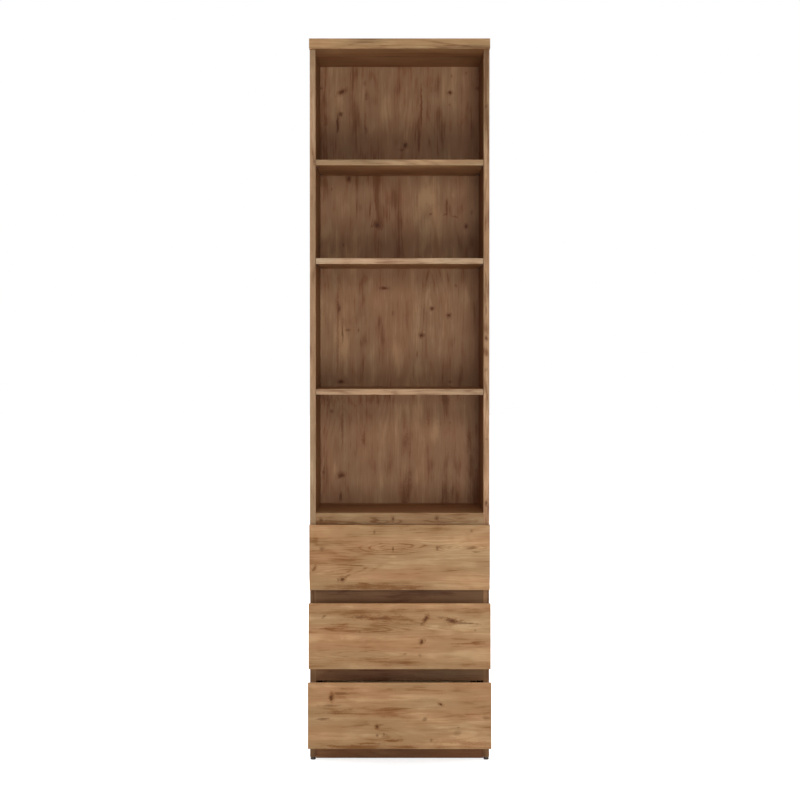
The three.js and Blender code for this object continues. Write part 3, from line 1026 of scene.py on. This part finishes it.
# each side's start in the pattern, the tint that paints shade on its inner face, the tint of its
# band, the band's contrast and its lines
side_looks = {
    "left": ((0.2, 3.1, 0.6), (0.70, 0.56, 0.44), (0.99, 1.12, 1.22), 1.0, 1.2),
    "right": ((2.7, 4.4, 1.5), (0.62, 0.44, 0.34), (1.04, 1.10, 1.16), 1.4, 2.1)}
for hand, (start, inner_shade_tint, band_tint, band_contrast, band_lines) in side_looks.items():
    node = "side_panel_" + hand
    outer = oak(node + "_oak", node, edge_oak, upright_side, start, contrast=outer_contrast)
    # The inner face's deeper palette is painted shade of the compartments.
    inner = oak(node + "_inner_oak", node, deeper(front_oak, *inner_shade_tint), upright_side, start)
    band = oak(
        node + "_band_oak", node, deeper(band_oak, *band_tint), upright_back, start,
        band_marks[hand], band_contrast, band_lines, painted_shade_levels=gap_shade_levels)
    finishes = {inward_side[hand]: inner, "front": band, "rear": raw_chipboard, "bottom": raw_chipboard}
    board(node, outer, finishes)
print("side panels:", list(side_looks))

# %% Lying boards
as_it_is = (1, 1, 1)
lying_contrast = 1.1
lying_lines = 1.6
# each board's start in the pattern and its tint
lying_looks = {
    "top_panel": ((0.3, 1.1, 2.0), (0.98, 0.98, 0.97)),
    "compartment_floor": ((1.3, 2.1, 0.4), as_it_is),
    "bottom_panel": ((5.2, 1.2, 1.7), as_it_is),
    "shelf_1": ((8.2, 2.5, 1.3), (0.90, 0.93, 1.00)),
    "shelf_2": ((9.4, 0.6, 2.9), (1.22, 1.40, 1.78)),
    "shelf_3": ((10.3, 1.8, 0.5), (1.10, 1.19, 1.43))}
for node, (start, tint) in lying_looks.items():
    tinted = deeper(edge_oak, *tint)
    decor = oak(
        node + "_oak", node, tinted, lying_board, start, contrast=lying_contrast, lines=lying_lines)
    # The tops and undersides take the deeper level palette, which is painted shade of the compartments.
    level = oak(node + "_level_oak", node, shaded_level_oak, lying_board, start)
    finishes = {"bottom": level, "rear": raw_chipboard}
    if node != "top_panel":
        finishes["top"] = level
    board(node, decor, finishes)
print("lying boards:", list(lying_looks))

# %% Rails and plinth
apron_marks = {
    "knots": [(0.032, 0.55, 4, 4, 0, 0.7), (0.460, 0.62, 3, 5, 0, 0.8), (0.720, 0.66, 4, 4, -10, 0.7)],
    "flames": [(0.40, 0.45, 60, 9, 0, 0.5), (0.77, 0.50, 70, 9, 0, 0.5)],
    "brown": [
        (0.18, 0.40, 60, 6, 0, 0.4), (0.35, 0.62, 16, 4, -15, 0.7), (0.86, 0.62, 20, 3, -12, 0.7),
        (0.955, 0.50, 8, 5, 20, 0.6)],
    "pale": [(0.39, 0.50, 14, 4, 0, 0.7), (0.60, 0.35, 60, 4, 0, 0.6), (0.83, 0.45, 16, 4, 0, 0.6)]}
rail_marks = {
    1: {"brown": [(0.40, 0.5, 110, 40, 0, 0.25)], "pale": [(0.93, 0.5, 80, 60, 0, 0.5)]},
    2: {"brown": [(0.35, 0.5, 130, 40, 0, 0.5)], "pale": [(0.94, 0.5, 90, 60, 0, 0.7)]}}
plinth_marks = {"brown": [(0.18, 0.5, 90, 60, 0, 0.4)], "pale": [(0.76, 0.5, 100, 60, 0, 0.5)]}
# each rail's palette, a deeper one that paints the shade behind the fronts, its start in the
# pattern, its marks and its contrast
rail_looks = {
    "apron_rail": (shaded_strip_oak, (2.2, 0.7, 1.4), apron_marks, 1.3),
    "drawer_rail_1": (shaded_rail_oak, (3.1, 1.9, 2.6), rail_marks[1], 1.0),
    "drawer_rail_2": (shaded_rail_oak, (4.4, 2.8, 0.9), rail_marks[2], 1.0),
    "plinth_front": (shaded_plinth_oak, (6.1, 0.2, 2.2), plinth_marks, 1.0),
    "plinth_rear": (shaded_plinth_oak, (7.3, 1.4, 0.1), None, 1.0)}
for node, (palette, start, marks, contrast) in rail_looks.items():
    decor = oak(node + "_oak", node, palette, across_board, start, marks, contrast)
    board(node, decor, {"bottom": raw_chipboard})
print("rails:", list(rail_looks))

# %% [markdown]
# ## The back
# The back is thin printed board, its grain upright, in two parts with a plastic strip where they
# meet behind the compartment floor. The printed pattern repeats down its length. The knots, short
# cracks and streaks of each compartment stand where the photograph shows them.

# %% Back boards
back_marks = {
    "knots": [
        (0.143, 0.940, 5, 9, -25), (0.187, 0.747, 7, 5, 0), (0.363, 0.644, 6, 8, 25),
        (0.910, 0.641, 5, 4, 0), (0.406, 0.503, 3, 8, 0), (0.699, 0.458, 4, 5, -20),
        (0.805, 0.442, 5, 5, 0), (0.633, 0.398, 5, 5, 0), (0.138, 0.294, 4, 7, 0), (0.809, 0.938, 4, 5, 0),
        (0.534, 0.821, 7, 6, 20, 0.9), (0.139, 0.085, 5, 8, -25)],
    "flames": [(0.68, 0.46, 150, 22, 0, 0.5), (0.70, 0.90, 130, 18, 0, 0.4)],
    "dark": [
        (0.016, 0.948, 4, 7, 0, 0.7), (0.118, 0.868, 32, 4, 0, 1.0), (0.137, 0.891, 8, 7, 0, 0.9),
        (0.294, 0.933, 13, 5, 0, 0.5), (0.286, 0.959, 11, 5, 0, 0.4), (0.294, 0.855, 11, 4, 0, 0.5),
        (0.819, 0.976, 7, 3, 0, 0.5), (0.807, 0.911, 4, 4, 0, 0.5), (0.985, 0.948, 6, 8, 0, 0.6),
        (0.909, 0.982, 4, 4, 0, 0.5), (0.082, 0.724, 5, 3, 0, 0.6), (0.329, 0.641, 5, 4, 0, 0.5),
        (0.153, 0.599, 7, 3, 0, 0.5), (0.690, 0.668, 3, 7, -20, 0.6), (0.781, 0.667, 3, 7, -20, 0.6),
        (0.842, 0.662, 3, 9, 20, 0.6), (0.944, 0.672, 8, 6, 0, 0.4), (0.128, 0.458, 14, 3, 0, 0.7),
        (0.148, 0.405, 34, 2.5, 0, 0.7), (0.181, 0.409, 4, 9, 0, 0.6), (0.246, 0.409, 7, 3, 0, 0.6),
        (0.459, 0.447, 8, 5, 0, 0.4), (0.848, 0.508, 6, 4, 0, 0.5), (0.608, 0.355, 14, 3, 0, 0.5),
        (0.812, 0.294, 4, 7, 0, 0.6), (0.586, 0.313, 23, 6, 0, 0.3), (0.146, 0.189, 60, 4, 0, 0.6),
        (0.080, 0.228, 6, 6, 0, 0.6), (0.811, 0.202, 4, 4, 0, 0.4), (0.512, 0.810, 4, 8, 0, 0.6),
        (0.137, 0.036, 17, 7, 0, 0.8), (0.030, 0.092, 5, 6, 0, 0.6), (0.972, 0.096, 7, 4, 0, 0.5)],
    "brown": [
        (0.634, 0.901, 66, 3, 0, 0.9), (0.619, 0.827, 30, 3, 0, 0.8), (0.292, 0.876, 58, 4, 0, 0.5),
        (0.060, 0.876, 24, 12, 0, 0.4), (0.532, 0.917, 35, 3, 0, 0.5), (0.353, 0.703, 30, 3, 0, 0.7),
        (0.319, 0.672, 24, 3, 0, 0.6), (0.607, 0.699, 30, 4, 0, 0.5), (0.791, 0.691, 26, 3, 0, 0.7),
        (0.118, 0.430, 150, 4, 0, 0.7), (0.730, 0.315, 44, 22, 0, 0.35), (0.797, 0.525, 30, 3, 0, 0.6),
        (0.282, 0.168, 27, 6, 0, 0.7), (0.526, 0.206, 36, 5, 0, 0.5), (0.930, 0.157, 35, 7, 0, 0.4),
        (0.291, 0.522, 18, 9, 0, 0.4),
        # This wide band across the back is painted shade, just below and above the third shelf.
        (0.450, 0.258, 24, 240, 0, 0.45)],
    "pale": [
        (0.717, 0.922, 24, 14, 0, 0.7), (0.693, 0.699, 18, 14, 0, 0.7), (0.387, 0.642, 6, 3, 0, 0.7),
        (0.416, 0.431, 88, 6, 0, 0.6), (0.682, 0.475, 41, 23, 0, 0.6), (0.698, 0.181, 30, 34, 0, 0.6),
        (0.829, 0.710, 9, 3, 0, 0.6), (0.653, 0.405, 5, 4, 0, 0.6), (0.545, 0.110, 75, 13, 0, 0.6),
        (0.795, 0.095, 80, 15, 0, 0.7)],
}
back_contrast = 1.3
back_lines = 0.85
back_casting = 0.45
strip_rounding = 0.2 * mm
back_looks = {"back_panel_upper": (nowhere, back_marks), "back_panel_lower": ((3.0, 1.0, 0.0), None)}
for node, (start, marks) in back_looks.items():
    decor = oak(
        node + "_oak", node, back_oak, upright_back, start, marks, back_contrast, back_lines, back_casting)
    board(node, decor, dict.fromkeys(("rear", "left", "right"), raw_hardboard), thin_rounding)

node = "back_joining_strip"
strip_shape = merged_copy(node)
round_long_edges(strip_shape, strip_rounding)
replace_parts(finish_piece(strip_shape, node + "_profile", [strip_plastic], node), node)
print("back:", list(back_looks) + [node])

# %% [markdown]
# ## Drawer fronts
# The fronts are what the eye meets first, so each carries its own knots, flames and streaks. Their
# sloped rear top edge is the finger grip.

# %% Fronts
# In each front's list the last brown mark is a long band along the bottom edge that darkens it, and the
# last pale mark a long band high up that lightens the upper part.
front_marks = {
    "drawer_1_front": {
        "knots": [(0.184, 0.167, 6, 5, 10), (0.027, 0.334, 7, 3.5, 60, 0.6)],
        "flames": [(0.50, 0.67, 95, 15, 3), (0.85, 0.64, 75, 13, 0), (0.20, 0.30, 90, 14, 10, 0.6)],
        "dark": [
            (0.159, 0.153, 3, 6, 0, 0.6), (0.211, 0.218, 10, 3, 25, 0.6), (0.070, 0.630, 8, 6, 0, 0.6),
            (0.464, 0.630, 3, 7, 0, 0.8), (0.708, 0.644, 4, 7, 0, 0.7), (0.898, 0.646, 18, 3, 0, 0.7),
            (0.922, 0.586, 12, 2.5, 0, 0.6), (0.360, 0.890, 3.5, 5, 0, 0.6), (0.898, 0.911, 4, 4, 0, 0.5)],
        "brown": [
            (0.298, 0.102, 16, 3, 0, 0.6), (0.429, 0.046, 44, 3, 0, 0.6), (0.532, 0.069, 30, 3, 0, 0.6),
            (0.180, 0.480, 42, 22, -10, 0.2), (0.035, 0.800, 8, 20, 10, 0.3), (0.42, 0.05, 150, 7, 0, 0.4)],
        "pale": [
            (0.375, 0.650, 18, 8, 0, 0.8), (0.463, 0.510, 11, 4, 0, 0.6), (0.830, 0.654, 14, 8, 0, 0.7),
            (0.086, 0.255, 28, 11, 0, 0.5), (0.45, 0.97, 240, 6, 0, 0.4)]},
    "drawer_2_front": {
        "knots": [(0.790, 0.735, 11, 6, -8), (0.643, 0.764, 3.5, 10, -28), (0.620, 0.420, 4, 6, -25)],
        "flames": [
            (0.60, 0.58, 120, 16, -3, 0.7), (0.28, 0.60, 110, 14, 0, 0.6), (0.30, 0.22, 120, 13, 0, 0.7)],
        "dark": [
            (0.085, 0.800, 8, 3, 30, 0.6), (0.281, 0.792, 20, 3.5, 0, 0.5), (0.398, 0.778, 26, 3.5, 0, 0.6),
            (0.642, 0.444, 3, 3, 0, 0.6), (0.281, 0.573, 3.5, 3, 0, 0.5), (0.726, 0.782, 13, 3.5, 0, 0.5),
            (0.865, 0.700, 34, 2.8, -4, 0.8), (0.914, 0.592, 3, 4, 0, 0.5), (0.531, 0.235, 5, 3, 0, 0.4),
            (0.611, 0.216, 5, 4, 0, 0.4), (0.768, 0.757, 7, 4.5, 20, 0.8), (0.814, 0.726, 9, 3.5, -10, 0.8),
            (0.838, 0.742, 7, 2.5, 15, 0.6), (0.622, 0.700, 6, 3, 20, 0.6)],
        "brown": [
            (0.400, 0.780, 95, 8, 0, 0.65), (0.432, 0.670, 60, 14, 0, 0.3), (0.160, 0.670, 36, 5, 0, 0.5),
            (0.113, 0.615, 50, 2, 0, 0.7), (0.880, 0.388, 50, 3, 0, 0.7), (0.281, 0.133, 100, 9, 0, 0.5),
            (0.527, 0.615, 42, 3, 0, 0.4), (0.55, 0.77, 170, 8, 0, 0.4), (0.60, 0.08, 190, 9, 0, 0.3)],
        "pale": [
            (0.281, 0.499, 66, 8, 0, 0.7), (0.690, 0.655, 14, 6, 0, 0.9), (0.820, 0.655, 26, 3, 0, 0.9),
            (0.600, 0.480, 12, 3, 0, 0.6), (0.800, 0.800, 18, 3, 0, 0.7),
            (0.5, 0.95, 250, 7, 0, 0.6)]},
    "drawer_3_front": {
        "knots": [(0.128, 0.773, 4, 8, 0), (0.377, 0.338, 4, 4, 0), (0.724, 0.671, 5, 3, -25)],
        "flames": [
            (0.39, 0.20, 60, 14, 0, 0.4), (0.62, 0.50, 110, 18, 0, 0.6), (0.80, 0.24, 80, 14, 0, 0.4)],
        "dark": [
            (0.189, 0.842, 28, 1.6, 0, 0.6), (0.129, 0.653, 32, 3, 0, 0.5), (0.086, 0.454, 18, 3, 0, 0.7),
            (0.229, 0.602, 8, 2, 0, 0.5), (0.399, 0.366, 8, 3, 0, 0.5), (0.379, 0.209, 3.5, 5, 0, 0.7),
            (0.414, 0.218, 2.5, 6, 0, 0.6), (0.636, 0.449, 8, 5, 20, 0.6), (0.819, 0.325, 5, 2, 0, 0.5),
            (0.817, 0.242, 12, 9, 0, 0.35), (0.671, 0.135, 4.5, 4, 0, 0.5), (0.974, 0.463, 12, 5, 0, 0.5)],
        "brown": [
            (0.456, 0.126, 25, 3, 0, 0.7), (0.329, 0.084, 37, 2.5, 0, 0.7), (0.189, 0.038, 33, 4, 0, 0.6),
            (0.222, 0.907, 33, 4, 0, 0.6), (0.399, 0.537, 56, 14, 0, 0.3), (0.544, 0.472, 27, 8, 0, 0.4),
            (0.930, 0.085, 52, 6, 0, 0.9), (0.777, 0.112, 40, 6, 0, 0.8), (0.894, 0.528, 33, 2, 0, 0.6),
            (0.36, 0.54, 120, 12, 0, 0.3), (0.5, 0.02, 260, 9, 0, 0.6)],
        "pale": [
            (0.396, 0.195, 4, 4, 0, 0.8), (0.316, 0.749, 92, 8, 0, 0.6),
            (0.731, 0.315, 18, 7, 0, 0.7), (0.5, 0.80, 230, 7, 0, 0.4)]},
}
front_casting = 0.8
# each front's start in the pattern, its tint, its contrast and its lines
front_looks = {
    "drawer_1_front": ((0.0, 0.4, 1.0), (1.00, 1.00, 1.00), 1.05, 1.1),
    "drawer_2_front": ((1.7, 1.2, 2.0), (0.99, 0.98, 0.98), 1.30, 0.8),
    "drawer_3_front": ((3.3, 2.2, 3.1), (0.94, 0.94, 0.94), 1.35, 0.8)}
for node, (start, tint, contrast, line_level) in front_looks.items():
    decor = oak(
        node + "_oak", node, deeper(front_oak, *tint), across_board, start, front_marks[node], contrast,
        line_level, front_casting)
    board(node, decor)
print("fronts:", list(front_looks))

# %% [markdown]
# ## Drawer boxes
# Sides and back are 12 mm board wrapped in a pale oak foil, so their upper edges are softly round.
# The bottom is the same foil on hardboard, bare underneath.

# %% Drawer boxes
drawers = (1, 2, 3)
foil_rounding = 0.9 * mm
foil_contrast = 0.6
bottom_contrast = 0.5
start_step = (1.3, 0.7, 0.9)
bottom_step = 2.1
bottom_start = (0.3, 0.6)
foil_runs = {"side_left": deep_board, "side_right": deep_board, "back": across_board}
for number in drawers:
    for part, run in foil_runs.items():
        node = f"drawer_{number}_{part}"
        start = [step * count for step, count in zip(start_step, (number, len(part), number))]
        foil = oak(node + "_foil", node, foil_oak, run, start, contrast=foil_contrast)
        board(node, foil, {"bottom": raw_chipboard}, foil_rounding)
    node = f"drawer_{number}_bottom"
    start = (number * bottom_step, *bottom_start)
    foil = oak(node + "_foil", node, foil_oak, lying_board, start, contrast=bottom_contrast)
    board(node, foil, {"bottom": raw_hardboard, "rear": raw_hardboard}, thin_rounding)
print("drawer boxes:", len(drawers))

# %% [markdown]
# ## Screws
# Runners are held by flat pan-head screws with a cross recess. A head is a profile spun round its
# axis. Four cuts across it outline the cross, and the faces between the cuts are pushed down.

# %% A screw head
head_profile = [(0.0, 1.3), (1.7, 1.25), (2.6, 0.95), (3.1, 0.45), (3.1, 0.0)]
recess_half_width = 0.35 * mm
recess_depth = 0.7 * mm
recess_reach = 1.75 * mm
upward_turn = 0.5
head_turns = 16


def spun(profile, steps):
    """A shape from a profile of (radius, height) points in millimetres, spun round Z."""
    shape = bmesh.new()
    corners = [shape.verts.new((radius * mm, 0, height * mm)) for radius, height in profile]
    edges = [shape.edges.new(pair) for pair in zip(corners, corners[1:])]
    bmesh.ops.spin(
        shape, geom=corners + edges, axis=z_way, cent=nowhere, angle=2 * math.pi,
        steps=steps, use_merge=True)
    bmesh.ops.remove_doubles(shape, verts=shape.verts, dist=weld_distance)
    bmesh.ops.recalc_face_normals(shape, faces=shape.faces)
    return shape


def in_cross(face):
    """Whether a face of the head lies in the cross."""
    centre = face.calc_center_median()
    inside = min(abs(centre.x), abs(centre.y)) < recess_half_width
    return inside and math.hypot(centre.x, centre.y) < recess_reach and face.normal.z > upward_turn


def moved(shape, made, way):
    """Moves the corners among what an operator made."""
    corners = [item for item in made if isinstance(item, bmesh.types.BMVert)]
    bmesh.ops.translate(shape, verts=corners, vec=way)


def screw_head():
    shape = spun(head_profile, head_turns)
    for axis in (x_way, y_way):
        for offset in (-recess_half_width, recess_half_width):
            bmesh.ops.bisect_plane(
                shape, geom=shape.verts[:] + shape.edges[:] + shape.faces[:],
                plane_co=Vector(axis) * offset, plane_no=axis)
    cross = [face for face in shape.faces if in_cross(face)]
    pushed = bmesh.ops.extrude_face_region(shape, geom=cross)["geom"]
    bmesh.ops.delete(shape, geom=cross, context="FACES_ONLY")
    moved(shape, pushed, (0, 0, -recess_depth))
    return new_mesh("screw_head", shape)


head_mesh = screw_head()
print("screw head:", len(head_mesh.polygons), "faces")


# %% [markdown]
# ## Runners
# A runner is a strip of sheet steel folded into a channel, with a shallow bead pressed along its
# middle to stiffen it. So it is made like the real one: the outline of the section is drawn as a
# line, pulled out to the runner's length, its folds rounded, and the sheet given its thickness.

# %% A runner
sheet_thickness = 1.2 * mm
fold_radius = 1.4 * mm
fold_segments = 3
bead_half_height = 5.0 * mm
bead_slope = 1.6 * mm
bead_depth = 0.7 * mm
screw_places = (0.12, 0.50, 0.86)
screw_slot = 1
matrix_size = 4


def turned_to(place, turn, axis):
    """A matrix that turns a shape about an axis of its own and then moves it to a place."""
    return Matrix.Translation(place) @ Matrix.Rotation(turn, matrix_size, axis)


def add_copy(shape, mesh, material_index, placing=None):
    """Adds a copy of a mesh to a bmesh, turned and placed by a matrix if there is one."""
    verts_before = len(shape.verts)
    faces_before = len(shape.faces)
    shape.from_mesh(mesh)
    shape.verts.ensure_lookup_table()
    shape.faces.ensure_lookup_table()
    if placing:
        bmesh.ops.transform(shape, matrix=placing, verts=shape.verts[verts_before:])
    for face in shape.faces[faces_before:]:
        face.material_index = material_index


def runner(node, wall_x, inward, open_to):
    """A channel whose web lies on the wall at wall_x and whose flanges reach to open_to."""
    low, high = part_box(node)
    centre_z = (low.z + high.z) / 2
    half_height = (high.z - low.z) / 2
    bead_x = wall_x + inward * bead_depth
    upper_half = [
        (open_to, half_height), (wall_x, half_height), (wall_x, bead_half_height + bead_slope),
        (bead_x, bead_half_height)]
    section = upper_half + [(x, -rise) for x, rise in reversed(upper_half)]
    shape = bmesh.new()
    corners = [shape.verts.new((x, low.y, centre_z + rise)) for x, rise in section]
    edges = [shape.edges.new(pair) for pair in zip(corners, corners[1:])]
    pulled = bmesh.ops.extrude_edge_only(shape, edges=edges)["geom"]
    moved(shape, pulled, (0, high.y - low.y, 0))
    soften(shape, [edge for edge in shape.edges if not edge.is_boundary], fold_radius, fold_segments)
    web = max(shape.faces, key=lambda face: abs(face.normal.x) * face.calc_area())
    if web.normal.x * inward > 0:
        bmesh.ops.reverse_faces(shape, faces=shape.faces)
    bmesh.ops.solidify(shape, geom=shape.faces[:], thickness=sheet_thickness)
    bmesh.ops.recalc_face_normals(shape, faces=shape.faces)
    head_x = bead_x + inward * sheet_thickness
    for share in screw_places:
        place = (head_x, low.y + (high.y - low.y) * share, centre_z)
        add_copy(shape, head_mesh, screw_slot, turned_to(place, quarter_turn * inward, "Y"))
    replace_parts(finish_piece(shape, node + "_channel", [zinc, screw_zinc], node), node)


# %% Runners
inward_of = {"left": 1, "right": -1}
for number in drawers:
    for hand, inward in inward_of.items():
        for node, facing in (
                (f"case_runner_{number}_{hand}", inward), (f"drawer_{number}_runner_{hand}", -inward)):
            low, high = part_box(node)
            wall_x, open_to = (low.x, high.x) if facing > 0 else (high.x, low.x)
            runner(node, wall_x, facing, open_to)
print("runners:", len(drawers), "drawers with four each")

# %% [markdown]
# ## Shelf pins
# A shelf pin is a moulded peg, pushed into a blind hole, with a flat tongue that the shelf lies
# on. The peg is a spun profile with a rounded end. The tongue is a small block whose corners and
# edges are bevelled in turn.

# %% The tongue of a shelf pin
tongue_width = 12 * mm
tongue_thickness = 1.6 * mm
tongue_corner = 3.0 * mm
corner_segments = 5
tongue_edge = 0.3 * mm
edge_segments = 2


def tongue_mesh(start_x, end_x, inward, centre_y, top_z):
    """A block from start_x to end_x with round corners at its end and softened edges."""
    tongue = bmesh.new()
    bmesh.ops.create_cube(tongue, size=1)
    size = (abs(end_x - start_x), tongue_width, tongue_thickness)
    bmesh.ops.scale(tongue, vec=size, verts=tongue.verts)
    middle = ((start_x + end_x) / 2, centre_y, top_z - tongue_thickness / 2)
    bmesh.ops.translate(tongue, vec=middle, verts=tongue.verts)
    upright = [
        edge for edge in tongue.edges
        if abs((edge.verts[0].co - edge.verts[1].co).z) > tongue_thickness / 2
        and (edge.verts[0].co.x - start_x) * inward > tongue_corner]
    soften(tongue, upright, tongue_corner, corner_segments)
    rims = [edge for edge in tongue.edges if edge.calc_face_angle() > sharp_angle]
    soften(tongue, rims, tongue_edge, edge_segments)
    return new_mesh("tongue", tongue)


# %% Shelf pins
peg_radius = 2.5
peg_round = 0.5
peg_knee = peg_round * 0.3
peg_turns = 24
tongue_drop = 3.0 * mm
tongue_gap = 0.3 * mm


def shelf_pin(node, inward):
    low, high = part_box(node)
    wall_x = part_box("side_panel_left")[1].x if inward > 0 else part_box("side_panel_right")[0].x
    root_x, tip_x = (low.x, high.x) if inward > 0 else (high.x, low.x)
    centre_y = (low.y + high.y) / 2
    peg_length = (abs(wall_x - root_x) + tongue_drop) / mm
    profile = [
        (0, 0), (peg_radius - peg_round, 0), (peg_radius - peg_knee, peg_knee),
        (peg_radius, peg_round), (peg_radius, peg_length - peg_round),
        (peg_radius - peg_round, peg_length), (0, peg_length)]
    shape = spun(profile, peg_turns)
    placing = turned_to((root_x, centre_y, high.z - tongue_drop), quarter_turn * inward, "Y")
    bmesh.ops.transform(shape, matrix=placing, verts=shape.verts)
    add_copy(shape, tongue_mesh(wall_x + inward * tongue_gap, tip_x, inward, centre_y, high.z), 0)
    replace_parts(finish_piece(shape, node + "_peg", [pin_plastic], node), node)


for number in drawers:
    for end in ("front", "rear"):
        for hand, inward in inward_of.items():
            shelf_pin(f"shelf_{number}_pin_{end}_{hand}", inward)
print("shelf pins on four corners of", len(drawers), "shelves")

# %% [markdown]
# ## Glides
# The case stands on four nail-on glides of dark plastic. Each is a spun profile: a flat foot, a
# rounded flank and a straight rim under the side panel.

# %% Glides
flank_profile = [
    (0, 0), (4.6, 0), (5.0, 0.05), (6.0, 0.28), (6.7, 0.68), (7.2, 1.3), (7.45, 1.9), (7.5, 2.4)]
glide_radius = 7.5
rim_chamfer = 0.3
glide_turns = 36
for end in ("front", "rear"):
    for hand in inward_of:
        node = f"glide_{end}_{hand}"
        low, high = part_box(node)
        height = (high.z - low.z) / mm
        rim_profile = [
            (glide_radius, height - rim_chamfer), (glide_radius - rim_chamfer, height), (0, height)]
        shape = spun(flank_profile + rim_profile, glide_turns)
        bmesh.ops.translate(shape, vec=((low.x + high.x) / 2, (low.y + high.y) / 2, 0), verts=shape.verts)
        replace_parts(finish_piece(shape, node + "_foot", [glide_plastic], node), node)
print("glides:", round(height), "mm high")

# %% [markdown]
# ## Bumpers
# A closing drawer knocks on four little milky domes stuck behind the front's corners, where they
# meet the edges of the case. Each is a spun dome, thinner than the 2 mm gap.

# %% Bumpers
dome_profile = [(0, 1.7), (1.6, 1.6), (2.8, 1.25), (3.6, 0.7), (4.0, 0.0), (0, 0)]
dome_turns = 20
bumper_inset = 9 * mm
bumper_rise = 14 * mm
grip_height = 34 * mm
for number in drawers:
    node = f"drawer_{number}_front"
    low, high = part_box(node)
    for level, z in (("low", low.z + bumper_rise), ("high", high.z - grip_height)):
        for hand, x in (("left", low.x + bumper_inset), ("right", high.x - bumper_inset)):
            shape = spun(dome_profile, dome_turns)
            backwards = turned_to((x, high.y, z), -quarter_turn, "X")
            bmesh.ops.transform(shape, matrix=backwards, verts=shape.verts)
            finish_piece(shape, f"drawer_{number}_bumper_{level}_{hand}", [bumper_plastic], node)
print("bumpers: four behind each of", len(drawers), "fronts")

# %% Check each piece against its solid
slack = 0.02 * mm
checked = 0
for piece in [item for item in bpy.data.objects if item.type == "MESH"]:
    stem = piece.name.rpartition("_")[0]
    if stem in frame["nodes"]:
        checked += 1
        low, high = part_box(stem)
        for axis, way in enumerate(ways):
            reaches = [vertex.co[axis] for vertex in piece.data.vertices]
            excess = max(low[axis] - min(reaches), max(reaches) - high[axis])
            if excess > slack:
                print("outside its solid:", piece.name, way, round(excess / mm), "mm")
print("pieces compared with their solids:", checked)
